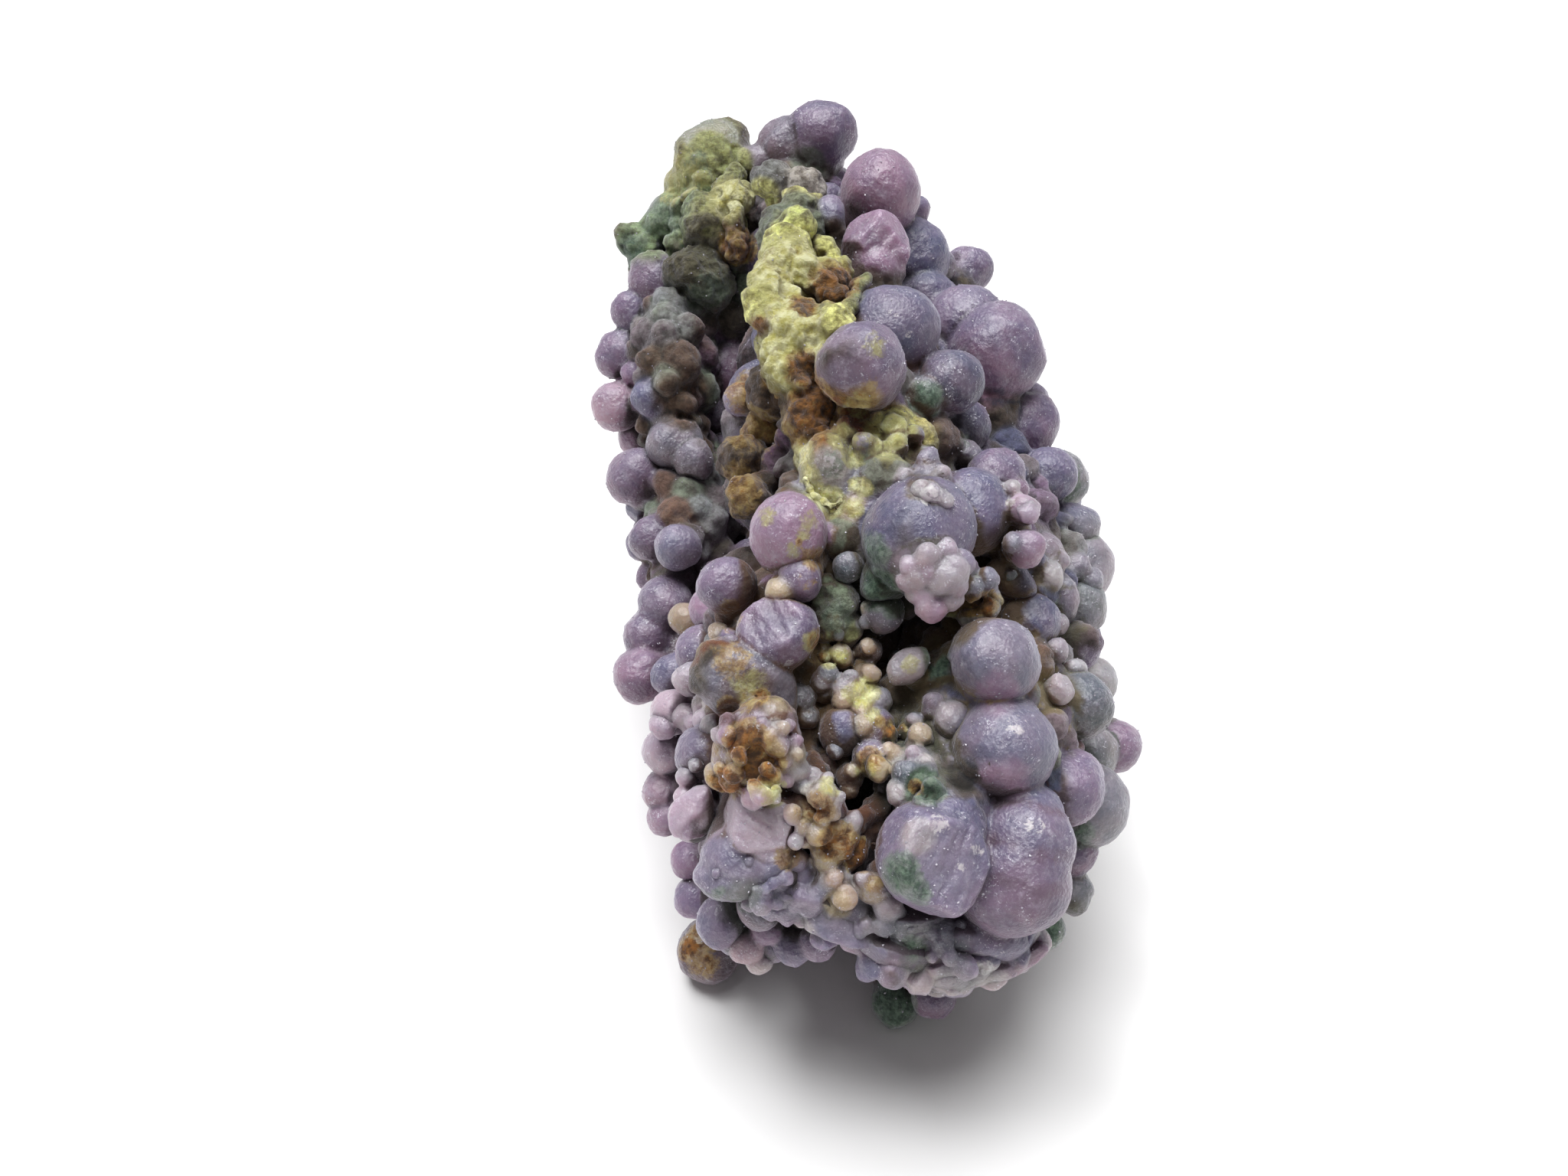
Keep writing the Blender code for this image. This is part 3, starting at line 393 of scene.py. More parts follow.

# Places where the skin takes on another tint: across, up, behind, radius, tint, and how crusty it gets there
# Coats of the tint "shade" are painted shade, laid in the valley, the hollows and the crevices
COATS = [
    (1.5, 21.6, 9, 3.0, "lime", 1.0), (1.6, 17.3, 6, 1.8, "lime", 1.0), (1.2, 15.2, 4, 2.2, "lime", 1.0),
    (3.2, 12.4, 3, 1.8, "ochre", 1.0), (2.0, 9.8, 3, 2.0, "ochre", 1.0), (7.2, 10.4, 3, 1.8, "lime", 1.0),
    (3.8, 10.8, 3, 2.4, "rust", 1.0), (1.8, 11.6, 4, 1.8, "brown", 1.0), (3.2, 19.6, 8.6, 1.5, "rust", 1.0),
    (-1.3, 17.2, 5.6, 0.8, "brown", 1.0), (2.0, 14.2, 3.6, 1.2, "rust", 1.0),
    (-0.6, 19.6, 7.6, 0.7, "sage", 1.0), (2.3, 18.4, 6.0, 0.9, "brown", 1.0),
    (0.6, 25.2, 18, 1.8, "fog", 0.9), (3.3, 19.8, 7.4, 1.4, "ochre", 1.0),
    (-2.6, 17.4, 20, 2.0, "shade", 0.9), (-3.4, 11.4, 17, 1.8, "brown", 0.9),
    (-1.9, 25.0, 23, 1.2, "shade", 0.9), (3.0, 7.8, 0.8, 1.8, "milk", 0.5),
    (-4.6, 27.0, 27, 3.0, "olive", 1.0), (-6.4, 24.8, 28, 2.6, "lichen", 1.0),
    (-5.6, 20.8, 25, 2.8, "bronze", 1.0), (-9.0, 22.6, 29, 2.4, "lichen", 1.0),
    (-4.8, 28.3, 27, 2.0, "olive", 0.8), (-2.2, 24.4, 23, 2.4, "umber", 1.0),
    (-3.4, 27.8, 27, 1.6, "olive", 1.0), (1.0, 26.2, 21, 2.4, "milk", 0.8), (-1.2, 27.0, 22, 1.8, "fog", 0.8),
    (-1.4, 25.6, 21, 1.4, "lime", 0.9), (0.6, 24.0, 13.4, 2.4, "sage", 0.9),
    (-4.0, 17.0, 24, 2.4, "umber", 0.9), (-7.4, 17.4, 26, 2.2, "fog", 0.6),
    (-6.6, 12.4, 23, 2.6, "umber", 0.8), (-4.8, 10.6, 20, 2.0, "ash", 0.7),
    (-2.4, 7.4, 11, 2.4, "umber", 0.9), (-1.4, 12.4, 12, 1.8, "honey", 0.9), (6.2, 0.2, -1, 1.5, "moss", 1.0),
    (10.0, -4.4, -0.4, 1.2, "moss", 1.0), (11.6, -12.2, -4.0, 1.5, "shade", 0.8),
    (9.2, -12.9, -3.8, 1.6, "moss", 0.9), (-2.4, -6.8, -3.6, 2.2, "umber", 0.3),
    (-1.6, -11.2, -6, 2.2, "honey", 0.5), (2.2, -14.0, -5, 1.8, "milk", 0.6),
    (3.4, -1.6, 0.6, 1.6, "sage", 1.0), (8.8, -13.6, -2, 1.6, "moss", 1.0),
    (8.0, -18.8, -7.7, 1.4, "sage", 0.3), (12.2, -1.0, 0.8, 1.2, "ochre", 1.0),
    (8.6, -24.2, -2.6, 1.3, "sage", 0.3), (3.6, -20.6, -3.8, 1.2, "honey", 0.3),
    (11.2, -25.2, -2.2, 1.6, "fog", 0.1), (-7.2, -8.1, 8, 2.2, "blush", 0.0),
    (-8.2, -10.2, 10, 2.0, "blush", 0.0), (1.5, 27.7, 27, 1.5, "sage", 0.4), (19.6, 3.0, 13, 2.6, "fog", 0.1),
    (19.0, -3.0, 11, 2.6, "fog", 0.1), (1.2, -22.4, -3.4, 1.0, "milk", 0.2),
    (6.0, -22.6, -3.6, 1.1, "fog", 0.2), (-3.0, 14.4, 22, 2.2, "brown", 0.9),
    (-4.0, 7.0, 16, 2.6, "matrix", 0.9), (-2.4, 20.0, 22, 1.8, "shade", 0.9),
    (-3.5, 3.0, 9, 3.0, "matrix", 0.8), (-2.0, 22.8, 22, 1.6, "shade", 0.9),
    (15.3, -16.0, -6.2, 2.3, "indigo", 0.0), (14.4, -21.2, -5.6, 3.2, "plum", 0.0),
    (12.3, -15.1, -5.9, 1.9, "indigo", 0.0), (9.8, -18.0, -8.0, 2.4, "lilac", 0.0),
    (8.8, -16.2, -7.8, 1.5, "milk", 0.1), (5.4, 12.3, 0.2, 1.2, "honey", 0.1),
    (13.9, -6.8, -4.8, 1.8, "pink", 0.0), (14.4, -12.6, -5.0, 2.0, "pink", 0.0),
    (-2.6, -20.0, -4, 1.5, "sage", 0.2), (13.4, 14.0, 12, 2.6, "pink", 0.0),
    (12.6, 2.4, 0.4, 1.4, "plum", 0.0), (4.6, 12.2, 0.2, 1.2, "ochre", 0.3),
    (-0.7, -2.6, -2.1, 2.0, "plum", 0.0), (5.4, -14.2, 1, 1.5, "shade", 0.6),
    (1.2, -10.6, 0.4, 0.9, "shade", 0.6), (-3.7, -8.6, -3, 1.4, "brown", 0.8),
    (8.2, -7.6, 2, 1.2, "shade", 0.6),
]

# The colour that gathers in the seams between grapes, at places over the specimen
# Darkened, these colours also tint the painted shade; the anchor of the tint "shade" is painted shade itself
SEAMS = [
    (0, 18, 8, "ochre"), (2, 11, 4, "brown"), (5, 13, 3, "rust"), (-3, 8, 10, "brown"), (-5, 14, 22, "shade"),
    (-8, 22, 29, "moss"), (-2, 26, 26, "brown"), (0, 3, 0, "ochre"), (-3, -5, 0, "rust"), (2, -6, 1, "ochre"),
    (-2, -12, -4, "rust"), (4, -15, -3, "rust"), (-6, -12, 5, "mauve"), (-8, 0, 18, "plum"),
    (-3, -19, 0, "moss"), (3, -21, -1, "ash"), (8, -12, 0, "moss"), (10, -22, 0, "mauve"), (8, 0, 0, "moss"),
    (12, -1, 1, "ochre"), (14, -7, 0, "honey"), (15, -16, -2, "plum"), (18, -10, 7, "moss"),
    (19, 0, 14, "sage"), (14, 10, 10, "dusk"), (9, 20, 18, "dusk"), (7, 26, 17, "umber"), (7, 5, 2, "umber"),
    (10, 14, 40, "plum"), (-6, 10, 45, "plum"),
]

# Stains on the skin: across, up, behind and radius of the place that each one spreads from, and its strength
STAINS = {
    "lime": [
        (-1.0, 4.6, -1.0, 1.0, 0.6), (1.6, 4.4, -1.6, 1.0, 0.6), (5.8, 15.8, 0.8, 1.5, 0.6),
        (0.3, 19.9, 8, 4.2, 1.0), (0.5, 16.4, 4.5, 3.8, 1.0), (3.0, 19.0, 7, 2.4, 0.7),
        (1.8, 22.0, 11, 1.2, 0.6), (5.2, -6.9, -0.2, 1.4, 0.9), (5.8, -8.4, 0.4, 1.0, 0.9),
        (3.0, -4.7, 1.0, 1.0, 0.8), (1.2, 8.6, 3, 1.6, 0.8), (3.0, 5.6, 1.4, 1.5, 1.0),
        (1.6, 7.4, 1.2, 1.0, 0.9), (4.5, 8.4, 1.2, 0.9, 0.8), (4.7, 6.7, 0.8, 0.8, 0.8),
        (2.2, 6.2, 1.0, 1.0, 0.9), (3.8, 9.8, 2, 1.4, 0.8), (5.2, 6.6, 1.4, 0.9, 0.9),
        (7.0, 9.6, 3, 2.6, 0.8), (-3.4, 25.3, 25, 2.2, 0.9), (-6.5, 27.0, 29, 3.0, 0.6),
        (0.3, 14.3, 4, 2.6, 0.8), (-1.0, -13.3, -5, 1.5, 0.9), (3.0, -13.0, -4.6, 1.1, 0.7),
        (5.4, -11.9, -2, 1.0, 0.9), (-2.2, -6.4, -3.8, 1.8, 0.5), (7.4, -9.3, 0, 1.0, 0.9),
        (4.6, 5.2, 1, 0.9, 0.8), (5.0, 11.8, 1, 1.5, 0.7), (1.3, 3.6, -1.9, 0.8, 0.6),
        (0.6, 2.4, -1.9, 0.9, 0.5), (1.7, -3.4, -1.6, 1.0, 0.8), (3.6, -4.5, 1.4, 0.9, 0.8),
        (4.4, -6.8, -0.2, 1.0, 0.6), (8.2, -5.0, -1, 0.9, 0.5), (19.0, 1.2, 13, 1.6, 0.35),
    ],
    "rust": [
        (2.2, -4.4, 0.0, 0.9, 0.8), (7.2, -9.4, 0.2, 1.2, 1.0), (1.4, 2.2, -1.6, 0.5, 0.8),
        (0.9, 3.0, -2.0, 0.4, 0.8), (-1.4, -7.0, -4.0, 0.8, 0.9), (-3.8, -7.6, -3.0, 0.8, 0.9),
        (-6.4, -23.4, 13.0, 1.4, 1.0), (8.6, -13.0, -4.4, 0.7, 0.8), (-5.4, -24.4, 12.0, 1.8, 0.8),
        (5.6, 13.4, 1.6, 1.3, 0.8), (1.8, 11.4, 4, 2.7, 1.0), (2.6, 13.2, 3.6, 1.8, 1.0),
        (3.3, 19.7, 7.6, 2.3, 1.0), (1.2, 18.2, 6.0, 1.4, 1.0), (-1.6, 17.1, 5.0, 1.0, 1.0),
        (1.4, 14.3, 4.0, 1.9, 1.0), (5.2, 12.0, 0.6, 1.5, 0.7), (-2.4, -10.2, -6, 2.1, 1.0),
        (-1.0, -11.6, -6, 1.5, 0.9), (-4.2, -10.4, -2, 1.6, 0.8), (-3.8, -12.6, -4.6, 1.7, 0.95),
        (-2.4, -9.4, -5.6, 1.2, 0.8), (-3.4, -4.6, -3, 1.9, 0.55), (-2.2, -7.6, -3.6, 1.6, 0.5),
        (-5.0, -6.0, 0, 1.6, 0.6), (1.4, 0.6, -1.4, 1.3, 0.35), (2.0, -3.4, -0.6, 1.3, 0.9),
        (1.9, 1.9, 0, 1.2, 0.8), (-3.6, -1.8, 0.5, 1.5, 0.9), (7.0, -9.6, 0.8, 0.9, 1.0),
        (3.4, -16.6, -4.2, 1.9, 0.9), (4.9, -17.4, -3.4, 1.6, 1.0), (2.2, -14.4, -5.0, 1.5, 0.85),
        (6.2, -8.8, 0.6, 0.9, 0.9), (5.6, -11.2, -2.2, 1.3, 0.75), (-2.0, -12.0, -6.0, 1.3, 1.0),
        (5.9, -19.3, -4.2, 0.9, 0.6), (0.2, -17.6, -4.2, 1.2, 0.7), (1.2, -14.6, -4.2, 1.2, 0.5),
        (13.0, -1.0, 0.6, 1.3, 0.9), (11.2, -1.0, 0.8, 1.0, 0.6), (21.0, -8.2, 11.4, 0.8, 1.0),
        (-4.9, -22.6, 14.0, 1.8, 0.8), (-3.2, 6.4, 7, 2.6, 0.7), (-2.0, 10.4, 9.5, 2.6, 0.7),
        (-3.0, 22.3, 25, 1.7, 1.0), (-2.5, 13.0, 13, 2.2, 0.7), (-0.6, 15.0, 7, 1.6, 0.7),
    ],
    "moss": [
        (6.2, 0.0, -0.4, 2.1, 1.0), (5.9, 2.4, -1.6, 1.8, 0.8), (7.0, -1.2, -0.2, 1.2, 0.8),
        (9.9, -3.6, 0.0, 1.4, 0.9), (10.0, -5.4, 0.0, 1.2, 0.9), (9.4, -13.4, -3.6, 1.7, 1.0),
        (7.6, -18.6, -7.6, 1.9, 0.9), (8.8, -19.8, -7.2, 1.3, 0.8), (6.9, -14.0, 0, 1.1, 0.8),
        (18.2, -9.6, 6, 1.7, 0.9), (19.2, -16.0, 4.4, 1.5, 0.8), (17.0, -22.3, 3, 1.8, 1.0),
        (7.3, -27.1, 12.4, 2.2, 1.0), (8.4, -23.6, -1.6, 1.5, 0.8), (-4.2, -19.8, -2.4, 0.9, 0.9),
        (-5.8, 27.6, 27.0, 1.6, 0.5), (-8.2, 24.0, 28.0, 2.0, 0.6), (-10.0, 22.0, 30, 1.6, 0.8),
        (-5.0, 19.4, 25.6, 2.2, 0.6), (9.2, 12.4, 4.4, 1.6, 0.9), (11.7, 9.4, 8, 1.2, 0.6),
        (17.6, 6.8, 15.8, 2.4, 0.8), (18.0, 3.0, 13.0, 1.3, 0.9), (17.4, -1.4, 7.0, 1.2, 0.6),
        (3.2, 8.0, 0.8, 1.5, 0.5), (3.4, -1.6, 1.0, 1.6, 0.5), (0.2, 21.0, 8.6, 0.9, 0.8),
        (12.4, 0.4, -0.8, 1.2, 0.4), (8.0, -10.4, 0.2, 1.0, 0.5),
    ],
    "chalk": [
        (0.6, 5.5, -0.8, 0.8, 0.55), (-0.8, 4.2, -1.6, 0.5, 0.5), (12.6, -17.2, -7.0, 1.0, 0.75),
        (9.0, -21.2, -6.6, 0.9, 0.6), (1.6, -22.6, -3.4, 0.8, 0.8), (13.2, -24.8, -2.0, 0.9, 0.8),
        (15.2, -9.0, -5.1, 1.4, 0.72), (16.4, -15.6, -6.0, 1.4, 0.75), (10.2, -15.4, -7.9, 1.6, 0.8),
        (11.6, -18.4, -7.9, 1.2, 0.7), (7.2, 17.8, 4.4, 0.8, 0.72), (8.2, 16.6, 4.2, 0.6, 0.72),
        (4.6, 17.2, 4.4, 0.7, 0.65), (0.2, -5.0, -3.2, 0.9, 0.8), (3.0, 8.0, 0.6, 1.3, 0.75),
        (-6.0, -6.0, 4.4, 1.5, 0.6), (14.8, 5.6, 0.4, 0.6, 1.0), (9.6, 6.05, -3.2, 1.25, 0.9),
        (-1.6, -9.0, -5.4, 1.0, 0.7), (1.2, -12.8, -4.6, 1.1, 0.6), (-2.6, -14.6, -4.6, 1.2, 0.5),
        (14.0, -23.6, -1.6, 1.2, 0.7), (11.4, -24.8, -2.2, 1.4, 0.5),
    ],
}

# How much farther than its radius a stain or coat reaches in depth, in millimetres
DEPTH_ROOM = 2.0

# The grapes that cover what no eye in front sees, and the small ones that fill the gaps of the front:
# smallest and largest radius, and how near neighbours come, as a share of their radii together
HIDDEN_SORTS = [(3.4, 4.4, 0.95), (2.4, 3.4, 0.86), (1.6, 2.4, 0.82), (1.0, 1.6, 0.78)]
FRONT_SORTS = [(1.1, 1.9, 0.80), (0.8, 1.2, 0.74)]

# How many points of skin are tried on each mass, and the seed of all random draws
SKIN_POINTS_PER_MASS = 900
SEED = 41

# Tints of the grown grapes with their shares, and where the left and the right begin
LEFT_OF = -2
RIGHT_OF = 13
LEFT_TINTS = {"plum": 0.30, "mauve": 0.28, "pink": 0.12, "lilac": 0.12, "umber": 0.10, "slate": 0.08}
MIDDLE_TINTS = {"lilac": 0.24, "mauve": 0.26, "slate": 0.20, "ash": 0.08, "dusk": 0.12, "plum": 0.10}
RIGHT_TINTS = {"ash": 0.20, "lilac": 0.20, "mauve": 0.22, "slate": 0.16, "moss": 0.08, "sage": 0.14}

# Tints of the lumps that fill the gaps of the front, and where they turn paler
DARK_LUMPS = ("matrix", "umber", "ash", "plum", "sage", "fog")
PALE_LUMPS = ("ash", "sage", "umber", "slate", "mauve")
PALER_RIGHT_OF = 4

# Where a grown grape or lump may sit: the lowest skin it grows on, how far its middle stands out of the skin
# and above the ground, as shares of its radius, and how squarely a skin that the eye sees must face it
LOWEST_SKIN = 1.2
STANDS_OUT = 0.15
SUNK_IN_FRONT = -0.30
STANDS_UP = 0.5
FACING_EYE = 0.1

# The stem that joins a grape to its mass: the step and size of its balls, as shares of the grape's radius,
# how deep in the mass it ends, and how much fatter than its balls its skin is
ROOT_STEP = 0.6
ROOT_SIZE = 0.72
ROOT_END = 0.95
STEM_SWELL = 1.10
# Grapes whose stems take the near black "shade" tint: painted shade in the crevices, which hides the stems
TINTS_ON_SHADE_PAINTED_STEMS = ("honey", "milk", "umber", "rose")


def from_sight(across, up, behind):
    """The place of what the eye sees, and how much larger it is than it looks."""
    larger = 1 + behind / SIGHT_DISTANCE
    height = up * larger
    place = (
        across * larger,
        behind * math.cos(SIGHT_TILT) + height * math.sin(SIGHT_TILT),
        SIGHT_HEIGHT - behind * math.sin(SIGHT_TILT) + height * math.cos(SIGHT_TILT),
    )
    return np.array(place), larger


def way_from_sight(across, up, towards):
    """A direction that the eye sees, turned into the specimen's frame."""
    way = np.array((
        across,
        up * math.sin(SIGHT_TILT) - towards * math.cos(SIGHT_TILT),
        up * math.cos(SIGHT_TILT) + towards * math.sin(SIGHT_TILT),
    ))
    return way / np.linalg.norm(way)


def to_sight(places):
    """Where the eye sees each place: across and up on the sight plane, and how far behind it."""
    lift = places[:, 2] - SIGHT_HEIGHT
    behind = places[:, 1] * math.cos(SIGHT_TILT) - lift * math.sin(SIGHT_TILT)
    height = places[:, 1] * math.sin(SIGHT_TILT) + lift * math.cos(SIGHT_TILT)
    larger = 1 + behind / SIGHT_DISTANCE
    return np.stack([places[:, 0] / larger, height / larger, behind], axis=1)


def eye():
    """Where the eye is: above and in front of the middle of its sight plane."""
    return from_sight(0, 0, -SIGHT_DISTANCE)[0]


def tint_of(name):
    """A named colour in linear light, as deep as the stone is."""
    shown = np.array(TINTS[name])
    linear = np.where(shown <= 0.04045, shown / 12.92, ((shown + 0.055) / 1.055) ** 2.4)
    return linear * STONE_DEPTH


class Ball:
    """A grape, a lump of crust or a stem: its middle, radius, tint, shape, crust share and breaks."""

    def __init__(self, middle, radius, tint, shape="grape", crusty=0.0, breaks=()):
        self.middle = middle
        self.radius = radius
        self.tint = tint
        self.shape = shape
        self.crusty = crusty
        self.breaks = breaks


def seen_ball(row, **rest):
    """The ball for a row that is given as the eye sees it."""
    across, up, behind, radius, tint = row[:5]
    place, larger = from_sight(across, up, behind)
    if len(row) > 5:
        rest["shape"] = row[5]
    return Ball(place, radius * larger, tint, **rest)


def spread_ways(count):
    """Directions spread evenly over a ball."""
    step = np.arange(count) + 0.5
    height = 1 - 2 * step / count
    turn = step * math.pi * (3 - math.sqrt(5))
    flat = np.sqrt(1 - height**2)
    return np.stack([flat * np.cos(turn), flat * np.sin(turn), height], axis=1)


def skin_of_masses():
    """Points all over the joint surface of the masses, with outward directions and largest grape radii."""
    ways = spread_ways(SKIN_POINTS_PER_MASS)
    points, outward, limits = [], [], []
    masses = [(np.array(middle), np.array(half), largest) for middle, half, largest in MASSES.values()]
    for number, (middle, half, largest) in enumerate(masses):
        places = middle + ways * half
        slopes = ways / half
        slopes /= np.linalg.norm(slopes, axis=1)[:, None]
        free = places[:, 2] > LOWEST_SKIN
        for other, (other_middle, other_half, other_largest) in enumerate(masses):
            if other != number:
                free &= (((places - other_middle) / other_half) ** 2).sum(axis=1) > 1
        points.append(places[free])
        outward.append(slopes[free])
        limits.append(np.full(free.sum(), largest))
    return np.concatenate(points), np.concatenate(outward), np.concatenate(limits)


def grown_tint(place, draw):
    """A tint for a grape that the list doesn't name: pinker on the left, greyer and greener on the right."""
    tints = MIDDLE_TINTS
    if place[0] < LEFT_OF:
        tints = LEFT_TINTS
    elif place[0] > RIGHT_OF:
        tints = RIGHT_TINTS
    return str(draw.choice(list(tints), p=list(tints.values())))


def grown_grapes(placed):
    """Grapes that fill the bare skin of the masses, largest first."""
    points, outward, limits = skin_of_masses()
    order = np.random.default_rng(SEED).permutation(len(points))
    to_eye = eye() - points
    to_eye /= np.linalg.norm(to_eye, axis=1)[:, None]
    faces_eye = (to_eye * outward).sum(axis=1) > FACING_EYE
    middles = [ball.middle for ball in placed]
    radii = [ball.radius for ball in placed]
    grown = []
    sorts = [(sort, False) for sort in HIDDEN_SORTS] + [(sort, True) for sort in FRONT_SORTS]
    sizes = np.random.default_rng(SEED + 1)
    tints = np.random.default_rng(SEED + 2)
    for (smallest, largest, nearness), in_front in sorts:
        for point in order:
            radius = sizes.uniform(smallest, largest)
            if radius > limits[point] or (faces_eye[point] and not in_front):
                continue
            middle = points[point] + outward[point] * radius * (SUNK_IN_FRONT if in_front else STANDS_OUT)
            if middle[2] < radius * STANDS_UP:
                continue
            gaps = np.linalg.norm(np.array(middles) - middle, axis=1)
            if (gaps < nearness * (np.array(radii) + radius)).any():
                continue
            middles.append(middle)
            radii.append(radius)
            if in_front:
                tint = str(tints.choice(DARK_LUMPS if middle[0] < PALER_RIGHT_OF else PALE_LUMPS))
                grown.append(Ball(middle, radius, tint, shape="lumpy", crusty=0.7))
            else:
                grown.append(Ball(middle, radius, grown_tint(middle, tints)))
    return grown


def reach(place, mass):
    """How far out of a mass a place lies: under 1 is inside."""
    middle, half, largest = mass
    return np.linalg.norm((place - np.array(middle)) / np.array(half))


def roots(ball):
    """Smaller balls that join one ball to the nearest mass, where it doesn't reach it."""
    place = ball.middle
    mass = min(MASSES.values(), key=lambda each: reach(place, each))
    towards = np.array(mass[0]) - place
    towards /= np.linalg.norm(towards)
    row = []
    while reach(place, mass) > ROOT_END:
        place = place + towards * ball.radius * ROOT_STEP
        # Stems of these grapes are painted shade with the near black tint; the rest take the matrix colour
        tint = "shade" if ball.tint in TINTS_ON_SHADE_PAINTED_STEMS else "matrix"
        row.append(Ball(place, ball.radius * ROOT_SIZE, tint, shape="stem", crusty=0.8))
    return row


def random_way(draw):
    way = draw.normal(size=3)
    return way / np.linalg.norm(way)


def unit_ball(level):
    shape = bmesh.new()
    bmesh.ops.create_icosphere(shape, subdivisions=level, radius=1.0)
    points = np.array([vertex.co[:] for vertex in shape.verts])
    faces = np.array([[vertex.index for vertex in face.verts] for face in shape.faces])
    shape.free()
    return points, faces


def uneven(ways, seed, depth):
    """Radius factors over a ball: slow and quick swells, the same for the same seed."""
    draw = np.random.default_rng([SEED, seed])
    swell = np.ones(len(ways))
    for turns in (2.2, 4.0, 7.0):
        wave = draw.normal(size=3)
        wave *= turns / np.linalg.norm(wave)
        swell += depth / turns * np.sin(ways @ wave + draw.uniform(0, 2 * math.pi))
    return swell


def flattened(offsets, radius, draw, count, nearest, softness):
    """Offsets of a ball's skin with flat places worn on it, each at least nearest of the radius out."""
    for number in range(count):
        way = random_way(draw)
        beyond = np.maximum(offsets @ way - draw.uniform(nearest, FARTHEST_FLAT) * radius, 0)
        offsets = offsets - softness * beyond[:, None] * way
    return offsets


def stretched(offsets, way, longer):
    """Offsets made longer along one way, and thinner across it."""
    along = offsets @ way
    thinner = 1 / math.sqrt(longer)
    return offsets * thinner + (longer - thinner) * along[:, None] * way


def skin_of_ball(ball, ways, number):
    """Points on the skin of one ball, in its own shape."""
    draw = np.random.default_rng([SEED, number, 7])
    if ball.shape == "stem":
        return ball.middle + ways * (STEM_SWELL * ball.radius * uneven(ways, number, LUMP_UNEVEN))[:, None]
    size, depth, flats, nearest, softness, longest = SHAPES[ball.shape]
    offsets = ways * (ball.radius * uneven(ways, number, depth))[:, None]
    offsets = flattened(offsets * size, ball.radius, draw, flats, nearest, softness)
    way = random_way(draw)
    offsets = stretched(offsets, way, draw.uniform(1.0, longest))
    for facing, keep in ball.breaks:
        beyond = np.maximum(offsets @ facing - keep * ball.radius, 0)
        offsets = offsets - beyond[:, None] * facing
    return ball.middle + offsets


class Slab:
    """A long lump of the vein, which has a middle and half sizes along, up and deep."""

    def __init__(self, row, number, crusty):
        sight, half, turn, tint = row
        self.middle, larger = from_sight(*sight)
        self.half = np.array(half) * larger
        self.colour = tint_of(tint)
        self.number = number
        self.crusty = crusty
        angle = math.radians(turn)
        along = way_from_sight(math.cos(angle), math.sin(angle), 0)
        upward = way_from_sight(-math.sin(angle), math.cos(angle), 0)
        self.frame = np.stack([along, upward, np.cross(along, upward)])

    def skin(self, ways):
        number = FIRST_SLAB_NUMBER + self.number
        draw = np.random.default_rng([SEED, number])
        swell = uneven(ways, number, LUMP_UNEVEN)[:, None]
        flats, nearest, softness = SHAPES["shard"][2:5]
        worn = flattened(SLAB_SIZE * ways * swell, 1.0, draw, flats, nearest, softness)
        return self.middle + (worn * self.half) @ self.frame

    def balls(self):
        """Balls that together fill about the same room."""
        row = []
        for along in (-0.75, -0.4, 0, 0.4, 0.75):
            for deep in (-0.5, 0.5):
                offset = np.array((along, 0, deep)) * self.half
                middle = self.middle + offset @ self.frame
                ball = Ball(middle, self.half[1] * SLAB_SIZE, "ash", crusty=self.crusty)
                ball.colour = self.colour
                ball.lump = self
                row.append(ball)
        return row


def lumps_along(strings, draw, spacing, out_of_line, sizes, **kind):
    """Lumps along the listed strings: spacing is a distance and a share of the thickness, which are added."""
    lumps = []
    for thickness, tint, places in strings:
        places = [from_sight(*place) for place in places]
        for (start, start_larger), (end, end_larger) in zip(places, places[1:]):
            steps = max(1, round(np.linalg.norm(end - start) / (spacing[0] + spacing[1] * thickness)))
            for step in range(steps):
                astray = draw.normal(size=3) * out_of_line * thickness
                middle = start + (end - start) * step / steps + astray
                radius = thickness * start_larger * draw.uniform(*sizes)
                lumps.append(Ball(middle, radius, tint, **kind))
    return lumps


def clustered_beads(hosts):
    """Small beads on the front of larger balls, in the listed clusters."""
    draw = np.random.default_rng(SEED + 5)
    middles = np.array([ball.middle for ball in hosts])
    radii = np.array([ball.radius for ball in hosts])
    beads = []
    bead_middles, bead_radii = np.zeros((1, 3)) - 1000, np.zeros(1)
    for across, up, behind, width, count, smallest, largest, tints in BEAD_CLUSTERS:
        centre, larger = from_sight(across, up, behind)
        near = np.flatnonzero(np.linalg.norm(middles - centre, axis=1) < width * larger + radii)
        wanted = len(beads) + count
        for attempt in range(count * TRIES_PER_BEAD):
            if len(beads) == wanted:
                break
            host = draw.choice(near)
            way = random_way(draw)
            radius = draw.uniform(smallest, largest)
            tint = str(draw.choice(tints))
            middle = middles[host] + way * (radii[host] - BEAD_SUNK * radius)
            to_eye = eye() - middle
            if way @ to_eye < 0 or np.linalg.norm(middle - centre) > width * larger:
                continue
            away = np.linalg.norm(middles - middle, axis=1)
            inside = away < radii - BEAD_IN_OTHER * radius
            inside[host] = False
            apart = np.linalg.norm(bead_middles - middle, axis=1)
            crowded = apart < BEAD_NEARNESS * (bead_radii + radius)
            sunk = any(reach(middle, mass) < 1 for mass in MASSES.values())
            if inside.any() or crowded.any() or sunk:
                continue
            bead_middles = np.vstack([bead_middles, middle])
            bead_radii = np.append(bead_radii, radius)
            beads.append(Ball(middle, radius, tint, shape="bead"))
    return beads


